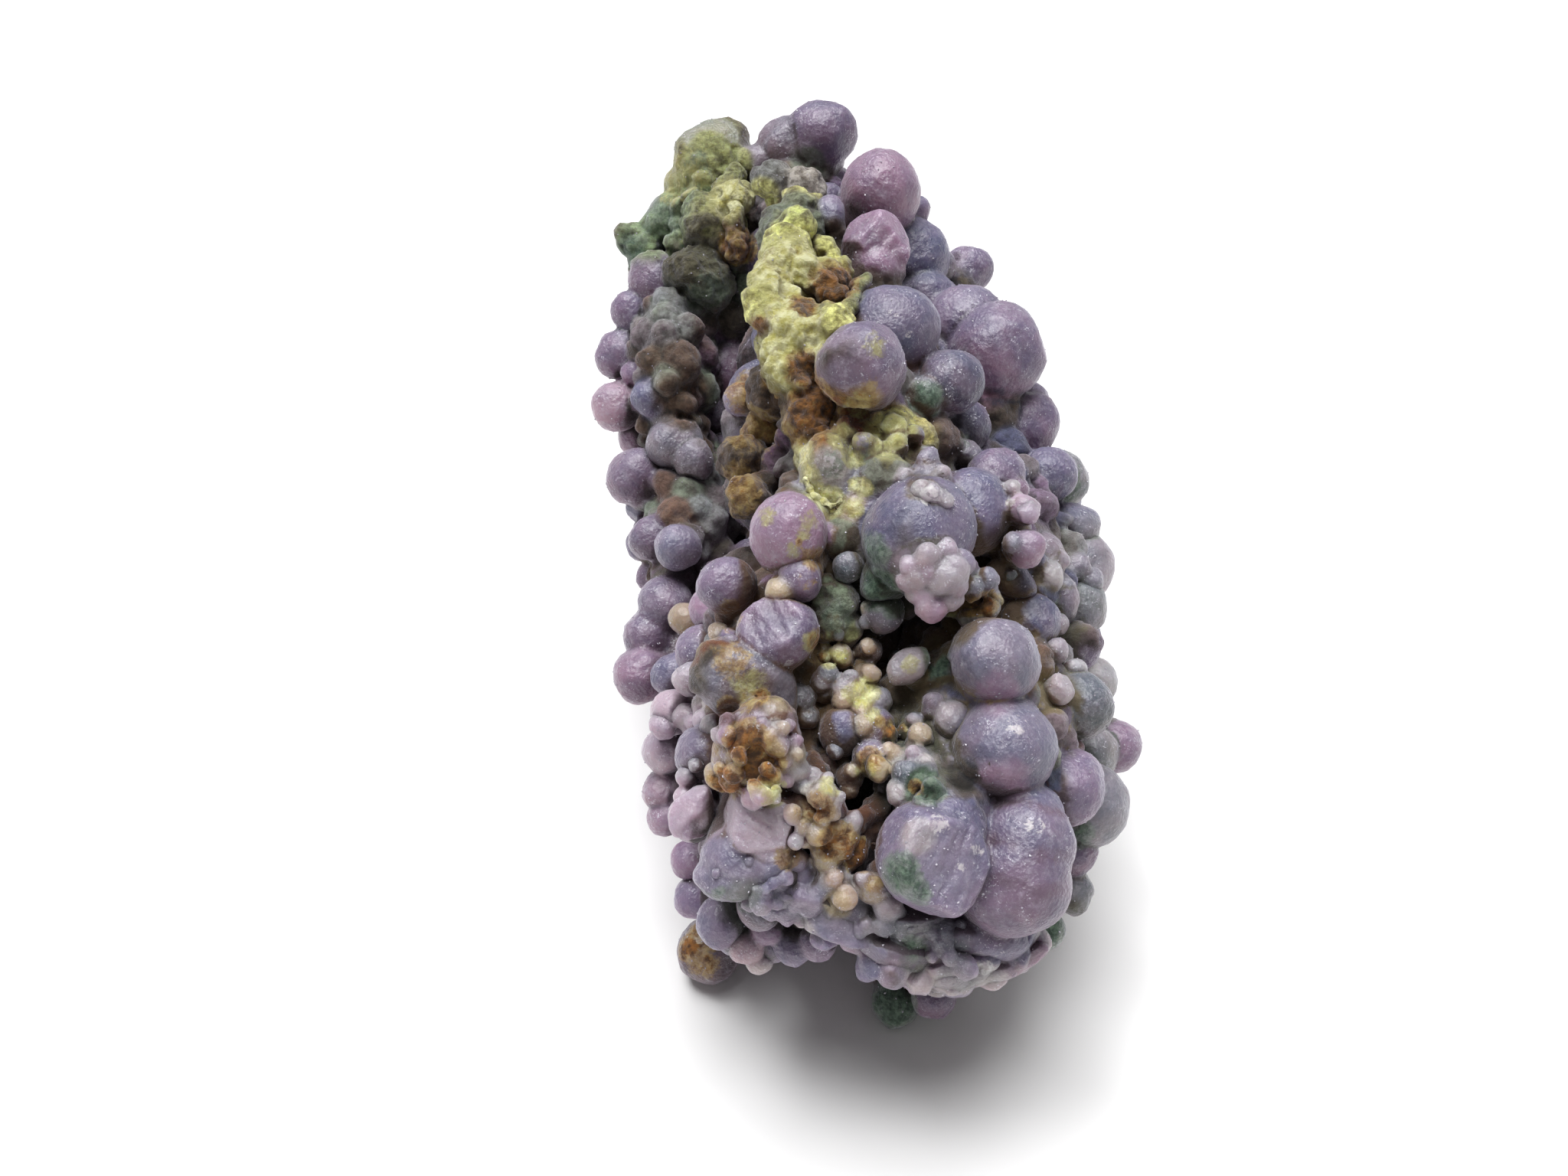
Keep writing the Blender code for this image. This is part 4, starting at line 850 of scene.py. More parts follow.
def all_balls():
    """Grapes, crust, broken grapes, stems with rubble, and small beads, each with its number and colour."""
    placed = [seen_ball(row) for rows in GRAPES.values() for row in rows]
    crust = [seen_ball(row, shape="crust", crusty=1.0) for row in CRUST]
    vein = [seen_ball(row, shape="shard", crusty=VEIN_CRUSTY) for row in VEIN_LUMPS]
    broken = []
    for row, breaks, turn in BROKEN_GRAPES:
        ball = seen_ball(row, breaks=[(way_from_sight(*facing), keep) for *facing, keep in breaks])
        angle = math.radians(turn)
        ball.grain = way_from_sight(math.cos(angle), math.sin(angle), 0)
        broken.append(ball)
    grapes = placed + grown_grapes(placed + broken + crust + vein)
    stems = [stem for ball in placed + broken + crust + vein for stem in roots(ball)]
    strings = lumps_along(
        CRUST_STRINGS, np.random.default_rng(SEED + 4), STRING_SPACING, STRING_OUT_OF_LINE, STRING_SIZES,
        shape="crust", crusty=1.0,
    )
    rubble = vein + lumps_along(
        VEIN_ROWS, np.random.default_rng(SEED + 6), RUBBLE_SPACING, RUBBLE_OUT_OF_LINE, RUBBLE_SIZES,
        shape="shard", crusty=VEIN_CRUSTY,
    )
    beads = clustered_beads(grapes + broken + crust + strings + rubble)
    for row in (grapes, crust + strings, broken, stems, rubble):
        for number, ball in enumerate(row):
            ball.number = number
    for number, ball in enumerate(beads):
        ball.number = FIRST_BEAD_NUMBER + number
    draw = np.random.default_rng(SEED + 3)
    for ball in grapes + broken + crust + stems + strings + rubble + beads:
        lightness = draw.uniform(*LIGHTNESS_SPREAD)
        ball.colour = tint_of(ball.tint) * lightness * draw.uniform(*TINT_SPREAD, size=3)
    return grapes, crust + strings, broken, stems + rubble, beads


def shells_of(masses, balls, slabs):
    """Points and faces of the masses, balls and slabs, still as separate shells."""
    small, large = (unit_ball(level) for level in BALL_LEVELS)
    points, faces = [], []
    count = 0
    for middle, half, largest in masses:
        points.append(np.array(middle) + large[0] * np.array(half))
        faces.append(large[1] + count)
        count += len(large[0])
    for ball in balls:
        ways, sides = large if ball.radius > LARGE_BALL_OVER else small
        points.append(skin_of_ball(ball, ways, ball.number))
        faces.append(sides + count)
        count += len(ways)
    for slab in slabs:
        points.append(slab.skin(large[0]))
        faces.append(large[1] + count)
        count += len(large[0])
    return np.concatenate(points), np.concatenate(faces)


# Large odd numbers that turn each corner of the noise's grid into a value that looks random
MIX_PLACE = (374761393, 668265263, 1442695041)
MIX_SEED = 1274126177


def lattice_noise(places, cell, seed):
    """Smooth noise from -1 to 1 with features of about one cell, the same for the same seed."""
    grid = places / cell
    corner = np.floor(grid).astype(np.int64)
    part = grid - corner
    ease = part * part * (3 - 2 * part)
    total = np.zeros(len(places))
    for step_x in (0, 1):
        for step_y in (0, 1):
            for step_z in (0, 1):
                key = (corner[:, 0] + step_x) * MIX_PLACE[0] + (corner[:, 1] + step_y) * MIX_PLACE[1]
                key += (corner[:, 2] + step_z) * MIX_PLACE[2] + seed * MIX_SEED
                key = (key ^ (key >> 13)) * MIX_SEED
                value = ((key ^ (key >> 16)) & 0xFFFF) / 32767.5 - 1
                share_x = ease[:, 0] if step_x else 1 - ease[:, 0]
                share_y = ease[:, 1] if step_y else 1 - ease[:, 1]
                share_z = ease[:, 2] if step_z else 1 - ease[:, 2]
                total += value * share_x * share_y * share_z
    return total


def crust_relief(places):
    """How far a porous crust swells or sinks at each place: ridges, pits and grit."""
    ridges = 1 - 2 * np.abs(lattice_noise(places, 1.7, 3))
    pits = np.minimum(lattice_noise(places, 1.1, 4) + 0.05, 0)
    grit = 0.14 * lattice_noise(places, 0.5, 5) + 0.06 * lattice_noise(places, 0.25, 6)
    return 0.20 * ridges + 0.55 * pits + grit


def grape_relief(places):
    """How far the skin of a grape swells or sinks at each place: low swells and fine grit."""
    swells = 0.07 * lattice_noise(places, 1.9, 7) + 0.05 * lattice_noise(places, 0.9, 1)
    return swells + 0.045 * lattice_noise(places, 0.42, 2)


def evaluated(thing):
    """The object's mesh with its modifiers applied, as a new mesh."""
    graph = bpy.context.evaluated_depsgraph_get()
    return bpy.data.meshes.new_from_object(thing.evaluated_get(graph))


def read_vertices(mesh):
    """Places and outward ways of a mesh's vertices."""
    places = np.empty(len(mesh.vertices) * 3)
    mesh.vertices.foreach_get("co", places)
    ways = np.empty(len(mesh.vertices) * 3)
    mesh.vertex_normals.foreach_get("vector", ways)
    return places.reshape(-1, 3), ways.reshape(-1, 3)


def loose_parts(mesh):
    """For each vertex the number of its loose part, and the volume of each part."""
    edges = np.empty(len(mesh.edges) * 2, dtype=np.int64)
    mesh.edges.foreach_get("vertices", edges)
    edges = edges.reshape(-1, 2)
    label = np.arange(len(mesh.vertices))
    while True:
        low = np.minimum(label[edges[:, 0]], label[edges[:, 1]])
        new = label.copy()
        np.minimum.at(new, edges[:, 0], low)
        np.minimum.at(new, edges[:, 1], low)
        new = new[new]
        if (new == label).all():
            break
        label = new
    names, label = np.unique(label, return_inverse=True)
    mesh.calc_loop_triangles()
    corners = np.empty(len(mesh.loop_triangles) * 3, dtype=np.int64)
    mesh.loop_triangles.foreach_get("vertices", corners)
    corners = corners.reshape(-1, 3)
    places = read_vertices(mesh)[0]
    first, second, third = (places[corners[:, side]] for side in range(3))
    volumes = (first * np.cross(second, third)).sum(axis=1) / 6
    return label, np.bincount(label[corners[:, 0]], weights=volumes, minlength=len(names))


def drop_hollows(mesh, smallest):
    """Drops the shells of closed hollows, and every loose body that is smaller than the smallest volume."""
    label, volumes = loose_parts(mesh)
    unwanted = volumes[label] < smallest
    if not unwanted.any():
        return
    shape = bmesh.new()
    shape.from_mesh(mesh)
    shape.verts.ensure_lookup_table()
    bmesh.ops.delete(shape, geom=[shape.verts[i] for i in np.flatnonzero(unwanted)], context="VERTS")
    shape.to_mesh(mesh)
    shape.free()


def cut_flat(mesh):
    """Cuts off what lies below z = 0 and closes the cut."""
    places = read_vertices(mesh)[0]
    if places[:, 2].min() >= 0:
        return
    shape = bmesh.new()
    shape.from_mesh(mesh)
    parts = shape.verts[:] + shape.edges[:] + shape.faces[:]
    cut = bmesh.ops.bisect_plane(
        shape, geom=parts, dist=1e-4, plane_co=(0, 0, 0), plane_no=(0, 0, -1), clear_outer=True
    )
    edges = [item for item in cut["geom_cut"] if isinstance(item, bmesh.types.BMEdge)]
    bmesh.ops.holes_fill(shape, edges=edges, sides=0)
    bmesh.ops.triangulate(shape, faces=[face for face in shape.faces if len(face.verts) > 3])
    bmesh.ops.recalc_face_normals(shape, faces=shape.faces[:])
    shape.to_mesh(mesh)
    shape.free()


# How softly the tints and the relief of neighbours run into each other, in millimetres, how crusty the bare
# matrix is, how deep the streaks of a break are cut, how much calmer the relief is in a seam, and how quickly
# the hollows of the crust darken
COLOUR_BLEND = 0.12
RELIEF_BLEND = 0.15
BARE_CRUSTY = 0.8
STREAK_DEPTH = 0.16
SEAM_CALM = 0.6
PIT_GAIN = 2.2


class Surroundings:
    """The balls of the whole specimen, asked for what lies around places on the skin.

    The skin is asked about in cells, each with the balls within reach of it, or the nearest few. Lumps of
    crust and vein overlap so much that each of them counts for less in the shade.
    """

    CELL = 3.0
    REACH = 5.0
    FEWEST = 16
    SEAM_WIDTH = 0.50
    LOOSE_COVER = 0.30
    BARE_FROM = 0.15
    BARE_OVER = 0.4

    def __init__(self, balls):
        self.middles = np.array([ball.middle for ball in balls])
        self.radii = np.array([ball.radius for ball in balls])
        self.colours = np.array([ball.colour for ball in balls])
        self.crusty = np.array([ball.crusty for ball in balls])
        lumps = [id(getattr(ball, "lump", ball)) for ball in balls]
        self.lumps = np.unique(lumps, return_inverse=True)[1].ravel()
        loose = [ball.shape in ("shard", "crust") or hasattr(ball, "lump") for ball in balls]
        self.cover = np.where(loose, self.LOOSE_COVER, 1.0)

    def around(self, places, ways, blend):
        """Blended tint, crust share, nearness to a seam, bareness and shade of each place: how much the balls
        around cover it, for painted shade.
        """
        count = len(places)
        colour, crust = np.zeros((count, 3)), np.zeros(count)
        seam, bare, shade = np.zeros(count), np.zeros(count), np.zeros(count)
        cells = np.floor(places / self.CELL).astype(np.int64)
        names, which = np.unique(cells, axis=0, return_inverse=True)
        which = which.ravel()
        order = np.argsort(which, kind="stable")
        starts = np.searchsorted(which[order], np.arange(len(names) + 1))
        for number, name in enumerate(names):
            rows = order[starts[number]:starts[number + 1]]
            middle = (name + 0.5) * self.CELL
            away = np.linalg.norm(self.middles - middle, axis=1) - self.radii
            near = away <= max(self.REACH, np.partition(away, self.FEWEST)[self.FEWEST])
            radii = self.radii[near]
            offsets = self.middles[near][None, :, :] - places[rows][:, None, :]
            distances = np.sqrt((offsets**2).sum(axis=2)) + 1e-6
            gaps = distances - radii
            nearest = gaps.argmin(axis=1)
            first = gaps.min(axis=1)[:, None]
            same = self.lumps[near][None, :] == self.lumps[near][nearest][:, None]
            second = np.where(same, np.inf, gaps).min(axis=1)
            shares = np.exp(-(gaps - first) / blend)
            shares /= shares.sum(axis=1)[:, None]
            colour[rows] = shares @ self.colours[near]
            crust[rows] = shares @ self.crusty[near]
            seam[rows] = np.clip(1 - (second - first[:, 0]) / self.SEAM_WIDTH, 0, 1)
            bare[rows] = np.clip((first[:, 0] - self.BARE_FROM) / self.BARE_OVER, 0, 1)
            facing = (offsets * ways[rows][:, None, :]).sum(axis=2) / distances
            # How much each ball around covers the place, summed into the shade that the material paints on as
            # darkening
            hidden = self.cover[near] * np.clip(facing, 0, 1) * np.minimum((radii / distances) ** 2, 1)
            shade[rows] = hidden.sum(axis=1)
        return colour, crust, seam, bare, shade


# A break: how far it reaches, in radii, how thick the skin is that counts as on it, in millimetres, and how
# much its streaks are drawn out along the grain
BREAK_REACH = 1.02
BREAK_SKIN = 0.16
GRAIN_SHORTER = 0.30


def break_streaks(places, broken):
    """How far each place lies on a break, and the streaks of its grain there, from -1 to 1."""
    share, streaks = np.zeros(len(places)), np.zeros(len(places))
    for number, ball in enumerate(broken):
        offsets = places - ball.middle
        facing, keep = ball.breaks[0]
        off_plane = np.abs(offsets @ facing - keep * ball.radius)
        inside = np.linalg.norm(offsets, axis=1) < BREAK_REACH * ball.radius
        here = np.clip(1.6 - off_plane / BREAK_SKIN, 0, 1) * inside
        if not here.any():
            continue
        sideways = np.cross(facing, ball.grain)
        flat = np.stack([GRAIN_SHORTER * offsets @ ball.grain, offsets @ sideways, offsets @ facing], axis=1)
        lines = 0.6 * lattice_noise(flat, 0.28, 30 + number) + 0.4 * lattice_noise(flat, 0.7, 40 + number)
        streaks = np.where(here > share, lines, streaks)
        share = np.maximum(share, here)
    return share, streaks


def from_spot(seen, across, up, behind, radius):
    """How far from a spot each place lies that the eye sees, in radii; depth counts for less."""
    offsets = (seen - np.array((across, up, behind))) / np.array((radius, radius, radius + DEPTH_ROOM))
    return np.linalg.norm(offsets, axis=1)


def spot_field(seen, rows):
    """How strongly spots of one kind reach each place, from 0 to 1."""
    field = np.zeros(len(seen))
    for across, up, behind, radius, strength in rows:
        gap = from_spot(seen, across, up, behind, radius)
        field = np.maximum(field, strength * np.clip(1.25 * (1 - gap**2), 0, 1))
    return field


def coat_field(places, colour):
    """How thick the coats of crust are at each place, and the colour with those coats on; the coats of the
    tint "shade" paint shade.
    """
    share = np.zeros(len(places))
    colour = colour.copy()
    seen = to_sight(places)
    patches = 0.4 * lattice_noise(places, 1.2, 8) + 0.25 * lattice_noise(places, 0.5, 9)
    for across, up, behind, radius, tint, crusty in COATS:
        gap = from_spot(seen, across, up, behind, radius)
        here = np.clip(1.6 * (1 - gap**2) + patches, 0, 1) * np.clip(3 * (1.1 - gap), 0, 1)
        colour += (tint_of(tint) - colour) * (0.88 * here)[:, None]
        share = np.maximum(share, here * crusty)
    return share, colour


def seam_colours(places):
    """The colour that gathers in the seams at each place, blended between the nearest anchors."""
    anchors = np.array([from_sight(*row[:3])[0] for row in SEAMS])
    tints = np.array([tint_of(row[3]) for row in SEAMS])
    gaps = ((places[:, None, :] - anchors[None, :, :]) ** 2).sum(axis=2)
    shares = 1 / (gaps + 1.0) ** 2
    return (shares @ tints) / shares.sum(axis=1)[:, None]


def add_value(mesh, name, values):
    layer = mesh.attributes.new(name, "FLOAT", "POINT")
    layer.data.foreach_set("value", values.astype(np.float32))


def add_colour(mesh, name, values):
    layer = mesh.attributes.new(name, "FLOAT_COLOR", "POINT")
    four = np.ones((len(values), 4), dtype=np.float32)
    four[:, :3] = values
    layer.data.foreach_set("color", four.ravel())


def skin_values(places, ways, surroundings, blend):
    """Colour, crust share, nearness to a seam and shade of each place, with the coats on, the painted shade
    of the "shade" coats among them.
    """
    colour, crusty, seam, bare, shade = surroundings.around(places, ways, blend)
    colour += (tint_of("matrix") - colour) * (BARE_CRUSTY * bare)[:, None]
    coat, colour = coat_field(places, colour)
    crusty = np.maximum(np.maximum(crusty, coat), BARE_CRUSTY * bare)
    return colour, crusty, seam, shade


def finish_skin(thing, surroundings, broken, shading):
    """Writes tints, seams, shade and stains on the vertices, then moves the piece to its place in metres."""
    mesh = thing.data
    places, ways = read_vertices(mesh)
    colour, crusty, seam, shade = skin_values(places, ways, surroundings, COLOUR_BLEND)
    add_colour(mesh, "tint", colour)
    add_colour(mesh, "seam_tint", seam_colours(places))
    add_value(mesh, "crust", crusty)
    add_value(mesh, "seam", seam * shading)
    # How sheltered each vertex is, which the material paints on as shade
    add_value(mesh, "shade", shade * shading)
    # How far each vertex faces up: the material paints a bluish sheen on upward faces and a pink glow on
    # downward ones
    add_value(mesh, "sky", ways[:, 2])
    # How deep each place lies in a pit of the crust, which the material darkens: partly brown stain, partly
    # painted shade
    add_value(mesh, "pit", np.clip(-PIT_GAIN * crust_relief(places), 0, 1) * crusty)
    share, streaks = break_streaks(places, broken)
    add_value(mesh, "streak", share * np.clip(0.45 + 0.9 * streaks, 0, 1))
    seen = to_sight(places)
    for name, rows in STAINS.items():
        add_value(mesh, name, spot_field(seen, rows))
    mesh.transform(Matrix.Translation((-BOX_MIDDLE[0], -BOX_MIDDLE[1], 0)))
    mesh.transform(Matrix.Scale(MM, 4))
    mesh.shade_smooth()
    mesh.update()


# The steps between skin that faces the eye and skin that it doesn't see, and how much sooner the latter goes
THIN_STEPS = 10
THIN_UNSEEN = 0.01


def thin_out(thing, most):
    """Removes triangles until at most so many are left, sooner where the eye doesn't see them."""
    places, ways = read_vertices(thing.data)
    front = np.clip(((eye() - places) * ways).sum(axis=1) / SIGHT_DISTANCE, 0, 1)
    group = thing.vertex_groups.new(name="thin")
    steps = np.round((1 - front) * THIN_STEPS).astype(int)
    for step in range(THIN_STEPS + 1):
        group.add(np.flatnonzero(steps == step).tolist(), step / THIN_STEPS, "REPLACE")
    thin = thing.modifiers.new("thin", "DECIMATE")
    thin.use_collapse_triangulate = True
    thin.vertex_group = "thin"
    thin.vertex_group_factor = THIN_UNSEEN
    triangles = sum(len(face.vertices) - 2 for face in thing.data.polygons)
    thin.ratio = min(1.0, most / triangles)
    thing.data = evaluated(thing)
    thing.modifiers.clear()
    thing.vertex_groups.clear()


def fused_skin(name, masses, balls, slabs, surroundings, broken, voxel, most, smallest, shading):
    """One piece of the skin: its masses and balls fused, roughened, thinned out and finished."""
    points, faces = shells_of(masses, balls, slabs)
    mesh = bpy.data.meshes.new(name)
    mesh.from_pydata(points.tolist(), [], faces.tolist())
    thing = bpy.data.objects.new(name, mesh)
    bpy.context.scene.collection.objects.link(thing)
    fuse = thing.modifiers.new("fuse", "REMESH")
    fuse.mode = "VOXEL"
    fuse.voxel_size = voxel
    soften = thing.modifiers.new("soften", "SMOOTH")
    soften.factor = 0.5
    soften.iterations = SKIN_SMOOTHING
    thing.data = evaluated(thing)
    thing.modifiers.clear()
    drop_hollows(thing.data, smallest)

    places, ways = read_vertices(thing.data)
    colour, crusty, seam, shade = skin_values(places, ways, surroundings, RELIEF_BLEND)
    relief = (1 - crusty) * grape_relief(places) * (1 - SEAM_CALM * seam) + crusty * crust_relief(places)
    share, streaks = break_streaks(places, broken)
    relief += share * STREAK_DEPTH * streaks
    places += ways * relief[:, None]
    thing.data.vertices.foreach_set("co", places.ravel())
    thing.data.update()
    thin_out(thing, most)
    cut_flat(thing.data)
    finish_skin(thing, surroundings, broken, shading)
    thing.data.name = name
    return thing


def part_of_skin(ball):
    """Which piece of the skin a ball belongs to."""
    if ball.middle[1] < FRONT_ENDS_AT:
        small = ball.radius < BEADS_UNDER and ball.shape != "stem" and ball.crusty < HARDLY_CRUSTY
        return "beads" if small else "front"
    return "crest" if ball.middle[2] > CREST_STARTS_ABOVE else "back"


def random_ways(draw, count):
    ways = draw.normal(size=(count, 3))
    return ways / np.linalg.norm(ways, axis=1)[:, None]


def skin_samples(things, draw, count):
    """Random points on the triangles of finished pieces, with their outward ways, in metres."""
    corners, values = [], []
    for thing in things:
        mesh = thing.data
        mesh.calc_loop_triangles()
        sides = np.empty(len(mesh.loop_triangles) * 3, dtype=np.int64)
        mesh.loop_triangles.foreach_get("vertices", sides)
        places = read_vertices(mesh)[0]
        corners.append(places[sides.reshape(-1, 3)])
        crust = np.empty(len(mesh.vertices), dtype=np.float32)
        mesh.attributes["crust"].data.foreach_get("value", crust)
        values.append(crust[sides.reshape(-1, 3)[:, 0]])
    corners = np.concatenate(corners)
    values = np.concatenate(values)
    across = np.cross(corners[:, 1] - corners[:, 0], corners[:, 2] - corners[:, 0])
    areas = np.linalg.norm(across, axis=1)
    picked = draw.choice(len(areas), size=count, p=areas / areas.sum())
    first, second = draw.random(count), draw.random(count)
    fold = first + second > 1
    first[fold], second[fold] = 1 - first[fold], 1 - second[fold]
    chosen = corners[picked]
    points = chosen[:, 0] + first[:, None] * (chosen[:, 1] - chosen[:, 0])
    points += second[:, None] * (chosen[:, 2] - chosen[:, 0])
    ways = across[picked] / areas[picked][:, None]
    return points, ways, values[picked]


def octahedron():
    points = np.array([(1, 0, 0), (-1, 0, 0), (0, 1, 0), (0, -1, 0), (0, 0, 1.5), (0, 0, -1.5)], dtype=float)
    faces = np.array([
        (0, 2, 4), (2, 1, 4), (1, 3, 4), (3, 0, 4), (2, 0, 5), (1, 2, 5), (3, 1, 5), (0, 3, 5),
    ])
    return points, faces


def turned(points, draw, count):
    """The same points turned at random, count times."""
    first = random_ways(draw, count)
    other = random_ways(draw, count)
    second = np.cross(first, other)
    second /= np.linalg.norm(second, axis=1)[:, None]
    third = np.cross(first, second)
    frames = np.stack([first, second, third], axis=1)
    return np.einsum("pk,nkj->npj", points, frames)


def joined_piece(name, points, faces, count):
    """One mesh of many copies: points is count x each x 3, in metres."""
    each = points.shape[1]
    all_faces = (faces[None, :, :] + (np.arange(count) * each)[:, None, None]).reshape(-1, faces.shape[1])
    mesh = bpy.data.meshes.new(name)
    mesh.from_pydata(points.reshape(-1, 3).tolist(), [], all_faces.tolist())
    mesh.update()
    thing = bpy.data.objects.new(name, mesh)
    bpy.context.scene.collection.objects.link(thing)
    return thing


# Crystal sugar: how many places are tried, what share of them takes, the half lengths of the crystals in
# metres, and how large the patches are in which they lie
SUGAR_TRIES = 110000
SUGAR_SHARE = 0.24
SUGAR_SIZES = (0.00003, 0.000085)
SUGAR_PATCH = 0.0022


def crystal_sugar(things):
    """Tiny clear crystals that sit in patches on the upper sides of the grapes."""
    draw = np.random.default_rng(SEED + 11)
    points, ways, crust = skin_samples(things, draw, SUGAR_TRIES)
    patch = lattice_noise(points, SUGAR_PATCH, 21) + 0.5 * lattice_noise(points, SUGAR_PATCH / 3, 22)
    chance = np.clip(0.30 + 0.9 * patch + 0.45 * ways[:, 2], 0.02, 1) * (1 - 0.6 * crust)
    kept = (draw.random(len(points)) < SUGAR_SHARE * chance) & (points[:, 2] > 2 * SUGAR_SIZES[1])
    points, ways = points[kept], ways[kept]
    count = len(points)
    shape, faces = octahedron()
    sizes = draw.uniform(0, 1, count) ** 2 * (SUGAR_SIZES[1] - SUGAR_SIZES[0]) + SUGAR_SIZES[0]
    seats = points + ways * 0.25 * sizes[:, None]
    places = turned(shape, draw, count) * sizes[:, None, None] + seats[:, None, :]
    return joined_piece("crystal_sugar", places, faces, count)


class Tree:
    """Short helpers for one node tree."""

    def __init__(self, tree):
        self.tree = tree

    def node(self, kind, **settings):
        made = self.tree.nodes.new(kind)
        for name, value in settings.items():
            setattr(made, name, value)
        return made

    def link(self, start, end):
        self.tree.links.new(start, end)

    def put(self, socket, value):
        """Sets a socket to a value, or links an output to it."""
        if isinstance(value, bpy.types.NodeSocket):
            self.link(value, socket)
        elif isinstance(value, tuple) and len(value) == 3 and socket.type == "RGBA":
            socket.default_value = (*value, 1)
        else:
            socket.default_value = value

    def fill(self, made, values):
        """Puts each value on the node's socket of that name."""
        for name, value in values.items():
            self.put(made.inputs[name], value)
        return made

    def value(self, name):
        return self.node("ShaderNodeAttribute", attribute_name=name).outputs["Fac"]

    def colour(self, name):
        return self.node("ShaderNodeAttribute", attribute_name=name).outputs["Color"]

    def place(self):
        return self.node("ShaderNodeTexCoord").outputs["Object"]

    def noise(self, place, scale, detail=3.0, roughness=0.55, distortion=0.0):
        made = self.fill(self.node("ShaderNodeTexNoise"), {
            "Vector": place,
            "Scale": scale,
            "Detail": detail,
            "Roughness": roughness,
            "Distortion": distortion,
        })
        return made.outputs["Fac"]

    def cells(self, place, scale):
        made = self.fill(self.node("ShaderNodeTexVoronoi"), {"Vector": place, "Scale": scale})
        return made.outputs["Distance"]

    def math(self, operation, first, second=0.0, third=0.0):
        made = self.node("ShaderNodeMath", operation=operation)
        for socket, value in zip(made.inputs, (first, second, third)):
            self.put(socket, value)
        return made.outputs[0]

    def times(self, first, second):
        return self.math("MULTIPLY", first, second)

    def spread(self, value, low, high, to_low=0.0, to_high=1.0):
        """Value from low..high stretched to to_low..to_high, smoothly and clamped."""
        made = self.fill(self.node("ShaderNodeMapRange", interpolation_type="SMOOTHSTEP"), {
            "Value": value,
            "From Min": low,
            "From Max": high,
            "To Min": to_low,
            "To Max": to_high,
        })
        return made.outputs[0]

    def mix(self, share, first, second, blend="MIX"):
        made = self.node("ShaderNodeMix", data_type="RGBA", blend_type=blend)
        self.put(made.inputs[0], share)
        self.put(made.inputs[6], first)
        self.put(made.inputs[7], second)
        return made.outputs[2]

    def group(self, tree, **inputs):
        made = self.node("ShaderNodeGroup", node_tree=tree)
        for name, value in inputs.items():
            self.put(made.inputs[name.replace("_", " ").capitalize()], value)
        return made.outputs


def new_group(name, inputs, outputs):
    """An empty node group with named sockets, its helper, and its input and output sockets."""
    tree = bpy.data.node_groups.new(name, "ShaderNodeTree")
    for socket, kind, value in inputs:
        made = tree.interface.new_socket(socket, in_out="INPUT", socket_type=kind)
        if value is not None:
            made.default_value = value
    for socket, kind in outputs:
        tree.interface.new_socket(socket, in_out="OUTPUT", socket_type=kind)
    helper = Tree(tree)
    return tree, helper, helper.node("NodeGroupInput").outputs, helper.node("NodeGroupOutput").inputs


def patchy_mask():
    """A stain's spread, broken up by grain: outputs its fringe and its core."""
    tree, make, given, result = new_group(
        "patchy mask",
        [("Amount", "NodeSocketFloat", 0.0), ("Place", "NodeSocketVector", None),
         ("Scale", "NodeSocketFloat", 1500.0), ("Softness", "NodeSocketFloat", 0.12)],
        [("Fringe", "NodeSocketFloat"), ("Core", "NodeSocketFloat")],
    )
    coarse = make.noise(given["Place"], given["Scale"], detail=6.0, roughness=0.72, distortion=0.6)
    level = make.math("MULTIPLY_ADD", given["Amount"], 0.72, coarse)
    for name, middle in (("Fringe", 0.82), ("Core", 1.06)):
        low = make.math("SUBTRACT", middle, given["Softness"])
        high = make.math("ADD", middle, given["Softness"])
        make.link(make.spread(level, low, high), result[name])
    return tree


# How many crystals of sugar lie along a metre
SUGAR_SCALE = 3400.0


def sugar_height():
    """The fine sugar of quartz crystals on the skin: outputs a height."""
    tree, make, given, result = new_group(
        "sugar height",
        [("Place", "NodeSocketVector", None), ("Scale", "NodeSocketFloat", SUGAR_SCALE),
         ("Crust", "NodeSocketFloat", 0.0)],
        [("Height", "NodeSocketFloat")],
    )
    crystals = make.cells(given["Place"], given["Scale"])
    finer = make.cells(given["Place"], make.times(given["Scale"], 2.2))
    peel = make.noise(given["Place"], 1300.0, detail=5.0, roughness=0.65)
    height = make.math("MULTIPLY_ADD", crystals, 0.75, make.times(finer, 0.30))
    skin = make.math("MULTIPLY_ADD", peel, 1.8, height)
    grit = make.noise(given["Place"], 2600.0, detail=6.0, roughness=0.75)
    rough = make.times(make.times(grit, 3.2), given["Crust"])
    make.link(make.math("ADD", skin, rough), result["Height"])
    return tree


# The stains: the scale of the patches, the grain in them by its scale, detail, roughness and range, and for
# the fringe and the core how much of it shows and the two colours that the grain mixes
STAIN_LOOKS = [
    ("Moss", 1100.0, (2200.0, 5.0, 0.65, 0.36, 0.66),
     (0.62, (0.085, 0.135, 0.090), (0.26, 0.32, 0.25)), (0.85, (0.022, 0.050, 0.030), (0.12, 0.19, 0.13))),
    ("Lime", 950.0, (1300.0, 6.0, 0.68, 0.34, 0.64),
     (0.70, (0.40, 0.38, 0.15), (0.40, 0.38, 0.15)), (0.92, (0.54, 0.50, 0.13), (0.86, 0.85, 0.50))),
    ("Rust", 1350.0, (1500.0, 5.0, 0.62, 0.36, 0.66),
     (0.72, (0.24, 0.13, 0.03), (0.46, 0.34, 0.11)), (0.92, (0.048, 0.017, 0.003), (0.29, 0.110, 0.012))),
]


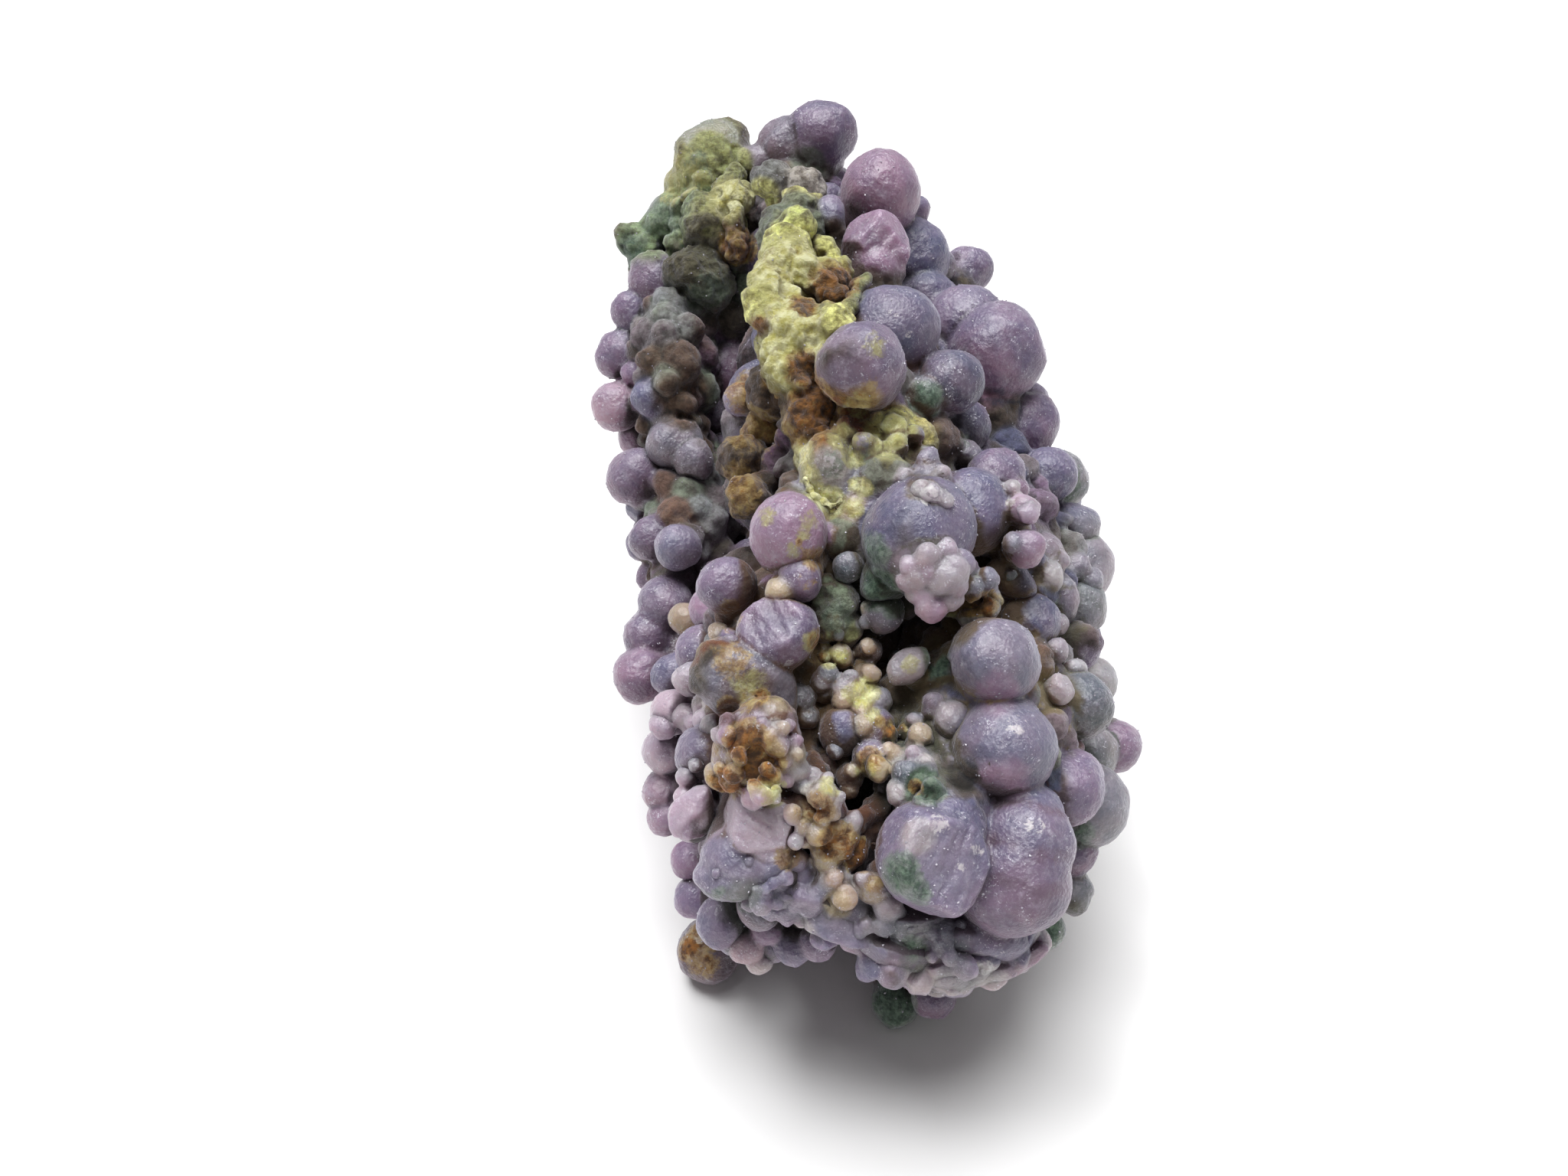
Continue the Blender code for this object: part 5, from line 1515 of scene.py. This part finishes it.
def clean_stone(make, given, clear):
    """The colour without stains: cloudy, with a painted bluish sheen of the overhead light on upward faces
    and a painted pink glow on downward ones, mottled by frost, with painted glints, streaked.
    """
    place = given["Place"]
    clouds = make.spread(make.noise(place, 380.0, detail=4.0, distortion=0.5), 0.32, 0.68)
    bluer = make.mix(make.times(clear, 0.34), given["Tint"], (0.060, 0.055, 0.130))
    pinker = make.mix(make.times(clear, 0.24), given["Tint"], (0.40, 0.23, 0.30))
    gritty = make.spread(make.noise(place, 1500.0, detail=6.0, roughness=0.7), 0.34, 0.66)
    grit = make.mix(gritty, (0.42, 0.38, 0.32), (1.45, 1.45, 1.40))
    cloudy = make.mix(given["Crust"], make.mix(clouds, bluer, pinker), grit, blend="MULTIPLY")
    # Painted light: upward faces turn bluish, a painted sheen of the overhead light, and downward faces
    # pinker, a painted glow of light through the stone
    top = make.times(make.spread(given["Sky"], -0.1, 1.0), clear)
    below = make.times(make.spread(given["Sky"], -0.7, 0.25, 1.0, 0.0), clear)
    painted_underglow = make.mix(make.times(below, 0.20), cloudy, (0.36, 0.22, 0.31))
    painted_sky_sheen = make.mix(make.times(top, 0.24), painted_underglow, (0.27, 0.28, 0.39))
    mottle = make.spread(make.noise(place, 1500.0, detail=7.0, roughness=0.78), 0.46, 0.66)
    frosty = make.spread(make.noise(place, 330.0, detail=3.0), 0.34, 0.62, 0.12, 0.40)
    mottling = make.times(make.times(mottle, frosty), clear)
    mottled = make.mix(mottling, painted_sky_sheen, (0.50, 0.48, 0.55))
    # Painted glints: small near white dots in patches that stand in for the sparkle of the crystal sugar
    painted_glint_dots = make.spread(make.noise(place, 3900.0, detail=3.0, distortion=1.5), 0.60, 0.66)
    patches = make.spread(make.noise(place, 560.0, detail=4.0, roughness=0.6), 0.46, 0.62)
    painted_glints = make.times(make.times(painted_glint_dots, patches), make.times(clear, 0.62))
    flecked = make.mix(painted_glints, mottled, (0.80, 0.80, 0.88))
    return make.mix(make.times(given["Streak"], 0.16), flecked, (0.44, 0.41, 0.48))


def stained_stone(make, given, colour, mask_group):
    """The colour with the stains on it, and where the cores of the coloured ones lie."""
    place = given["Place"]
    cores = 0.0
    for name, scale, (size, detail, roughness, low, high), fringe, core in STAIN_LOOKS:
        mask = make.group(mask_group, amount=given[name], place=place, scale=scale)
        grain = make.spread(make.noise(place, size, detail=detail, roughness=roughness), low, high)
        for part, (share, dark, pale) in (("Fringe", fringe), ("Core", core)):
            colour = make.mix(make.times(mask[part], share), colour, make.mix(grain, dark, pale))
        cores = make.math("MAXIMUM", cores, mask["Core"])
    chalk = make.group(mask_group, amount=given["Chalk"], place=place, scale=1300.0, softness=0.06)
    return make.mix(make.times(chalk["Core"], 0.8), colour, (0.62, 0.59, 0.60)), cores


def aged_stone(make, given, colour):
    """The colour with stain in its seams, its sheltered places and pits darkened toward brown black, partly
    stain and partly painted shade, and how deep that darkening is.
    """
    place = given["Place"]
    grain = make.noise(place, 1000.0, detail=5.0, roughness=0.65)
    seam_level = make.math("ADD", make.times(given["Seam"], 0.55), grain)
    dirty = make.spread(make.noise(place, 300.0, detail=3.0), 0.36, 0.56)
    seam = make.times(make.times(make.spread(seam_level, 0.70, 1.10), 0.80), dirty)
    seamed = make.mix(seam, colour, given["Seam tint"])
    # Brown black of the sheltered places and pits: partly their brown stain, partly painted shade
    dark = make.mix(0.62, given["Seam tint"], (0.024, 0.014, 0.008))
    shade_level = make.math("MULTIPLY_ADD", given["Seam"], 0.25, given["Shade"])
    deep = make.times(make.spread(shade_level, 0.52, 1.45), 0.88)
    shaded = make.mix(deep, seamed, dark)
    pit = make.times(make.spread(given["Pit"], 0.15, 0.95), 0.60)
    return make.mix(pit, shaded, dark), deep


def stone_colour(mask_group):
    """Tint, frost, stains and seams of the specimen, with painted shade, a painted sheen and glow and painted
    glints: outputs its colour, roughness and gloss.
    """
    kinds = [(name, "NodeSocketFloat", 0.0) for name in (
        "Seam", "Shade", "Sky", "Pit", "Crust", "Streak", "Lime", "Rust", "Moss", "Chalk")]
    tree, make, given, result = new_group(
        "stone colour",
        [("Place", "NodeSocketVector", None), ("Tint", "NodeSocketColor", None),
         ("Seam tint", "NodeSocketColor", None), *kinds],
        [("Colour", "NodeSocketColor"), ("Roughness", "NodeSocketFloat"), ("Gloss", "NodeSocketFloat")],
    )
    clear = make.math("SUBTRACT", 1.0, make.spread(given["Crust"], 0.0, 0.8))
    colour = clean_stone(make, given, clear)
    colour, cores = stained_stone(make, given, colour, mask_group)
    colour, deep = aged_stone(make, given, colour)
    make.link(colour, result["Colour"])
    dull = make.math("MAXIMUM", make.math("MAXIMUM", given["Crust"], cores), deep)
    make.link(make.spread(dull, 0.0, 1.0, 0.40, 0.80), result["Roughness"])
    make.link(make.spread(dull, 0.0, 0.8, 0.20, 0.0), result["Gloss"])
    return tree


# The values that both stones share on their shader, and the height of their sugar, in metres
QUARTZ_IOR = 1.54
STONE_VALUES = {
    "Coat Roughness": 0.20,
    "Subsurface Radius": (1.0, 0.75, 0.95),
    "Subsurface Scale": 0.0024,
    "IOR": QUARTZ_IOR,
    "Sheen Weight": 0.30,
    "Sheen Roughness": 0.35,
    "Sheen Tint": (0.85, 0.85, 1.0, 1),
}
SUGAR_HEIGHT = 0.00018


def stone_material(name, colour_group, sugar_group, translucency, bump):
    material = bpy.data.materials.new(name)
    material.use_nodes = True
    make = Tree(material.node_tree)
    shader = material.node_tree.nodes["Principled BSDF"]
    place = make.place()
    crust = make.value("crust")
    masks = {name: make.value(name) for name in ("seam", "shade", "sky", "pit", "streak", *STAINS)}
    colour = make.group(
        colour_group, place=place, tint=make.colour("tint"), seam_tint=make.colour("seam_tint"),
        crust=crust, **masks,
    )
    height = make.group(sugar_group, place=place, scale=SUGAR_SCALE, crust=crust)["Height"]
    relief = make.node("ShaderNodeBump")
    make.fill(relief, {"Strength": bump, "Distance": SUGAR_HEIGHT, "Height": height})
    make.fill(shader, {
        "Base Color": colour["Colour"],
        "Roughness": colour["Roughness"],
        "Coat Weight": colour["Gloss"],
        "Normal": relief.outputs["Normal"],
        "Subsurface Weight": translucency,
        **STONE_VALUES,
    })
    return material


def sugar_material():
    material = bpy.data.materials.new("clear crystal sugar")
    material.use_nodes = True
    make = Tree(material.node_tree)
    shader = material.node_tree.nodes["Principled BSDF"]
    cloud = make.spread(make.noise(make.place(), 900.0), 0.35, 0.65)
    colour = make.mix(cloud, (0.30, 0.28, 0.34), (0.62, 0.60, 0.66))
    make.fill(shader, {"Base Color": colour, "Roughness": 0.12, "IOR": QUARTZ_IOR})
    return material


def floor():
    bpy.ops.mesh.primitive_circle_add(vertices=96, radius=1.6, fill_type="NGON")
    ground = bpy.context.object
    ground.name = "floor"
    material = bpy.data.materials.new("pale sweep")
    material.use_nodes = True
    shader = material.node_tree.nodes["Principled BSDF"]
    shader.inputs["Base Color"].default_value = (0.86, 0.86, 0.86, 1)
    shader.inputs["Roughness"].default_value = 0.6
    ground.data.materials.append(material)


# The light: the room's colour and strength, and each lamp's name, strength, width, pitch and roll in degrees
ROOM_COLOUR = (1.0, 0.99, 0.98, 1)
ROOM_STRENGTH = 0.19
LAMPS = [("overhead softbox", 3.9, 46, -10, -4), ("small lamp", 0.65, 14, -4, -18)]


def lights():
    world = bpy.data.worlds.new("soft room")
    bpy.context.scene.world = world
    world.use_nodes = True
    sky = world.node_tree.nodes["Background"]
    sky.inputs["Color"].default_value = ROOM_COLOUR
    sky.inputs["Strength"].default_value = ROOM_STRENGTH
    for name, strength, width, pitch, roll in LAMPS:
        light = bpy.data.lights.new(name, "SUN")
        light.energy = strength
        light.angle = math.radians(width)
        holder = bpy.data.objects.new(name, light)
        holder.rotation_euler = (math.radians(pitch), math.radians(roll), 0)
        bpy.context.scene.collection.objects.link(holder)


def camera():
    lens = bpy.data.cameras.new("camera")
    lens.sensor_width = SENSOR_WIDTH
    lens.sensor_fit = "HORIZONTAL"
    lens.lens = FOCAL_LENGTH
    lens.clip_start = NEAREST_SEEN
    holder = bpy.data.objects.new("camera", lens)
    holder.location = Vector((eye() - np.array((*BOX_MIDDLE, 0))) * MM)
    holder.rotation_euler = (math.pi / 2 - SIGHT_TILT, 0, 0)
    bpy.context.scene.collection.objects.link(holder)
    bpy.context.scene.camera = holder


def belongs(piece, material):
    """Gives a piece its material, and its place in the part."""
    piece.data.materials.clear()
    piece.data.materials.append(material)
    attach(piece, "root")


def main():
    camera()
    lights()
    floor()
    mask_group = patchy_mask()
    colour_group = stone_colour(mask_group)
    sugar_group = sugar_height()
    chalcedony = stone_material("chalcedony", colour_group, sugar_group, translucency=0.8, bump=0.55)
    porous = stone_material("porous crust", colour_group, sugar_group, translucency=0.12, bump=0.7)

    grapes, crust, broken, stems, beads = all_balls()
    slabs = [Slab(row, number, VEIN_CRUSTY) for number, row in enumerate(SLABS)]
    plates = [Slab(row, FIRST_PLATE_NUMBER + number, 0.0) for number, row in enumerate(PLATES)]
    filled = [ball for slab in slabs + plates for ball in slab.balls()]
    surroundings = Surroundings(grapes + crust + broken + stems + beads + filled)
    solid = grapes + broken + stems + beads
    # Each part: its piece, key, masses, slabs, fineness, smallest loose body and shading
    parts = (
        ("front_grapes", "front", FRONT_MASSES, slabs, FRONT_VOXEL, 0.5, 1.0),
        ("crest_grapes", "crest", CREST_MASSES, [], CREST_VOXEL, 0.5, 0.9),
        ("back_grapes", "back", BACK_MASSES, [], BACK_VOXEL, 0.5, 1.0),
        ("small_beads", "beads", (), plates, BEAD_VOXEL, 0.02, 0.5),
    )
    skins = []
    for name, part, masses, lumps, voxel, smallest, shading in parts:
        balls = [ball for ball in solid if part_of_skin(ball) == part]
        masses = [MASSES[mass] for mass in masses]
        most = SKIN_TRIANGLES[part]
        skin = fused_skin(name, masses, balls, lumps, surroundings, broken, voxel, most, smallest, shading)
        belongs(skin, chalcedony)
        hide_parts(NODE)
        skins.append(skin)
    most = SKIN_TRIANGLES["crust"]
    drape = fused_skin(
        "porous_crust", [], crust, [], surroundings, broken, CRUST_VOXEL, most, smallest=0.02, shading=0.6
    )
    belongs(drape, porous)
    skins.append(drape)
    belongs(crystal_sugar(skins), sugar_material())

    bpy.context.scene.view_settings.view_transform = "Standard"


main()
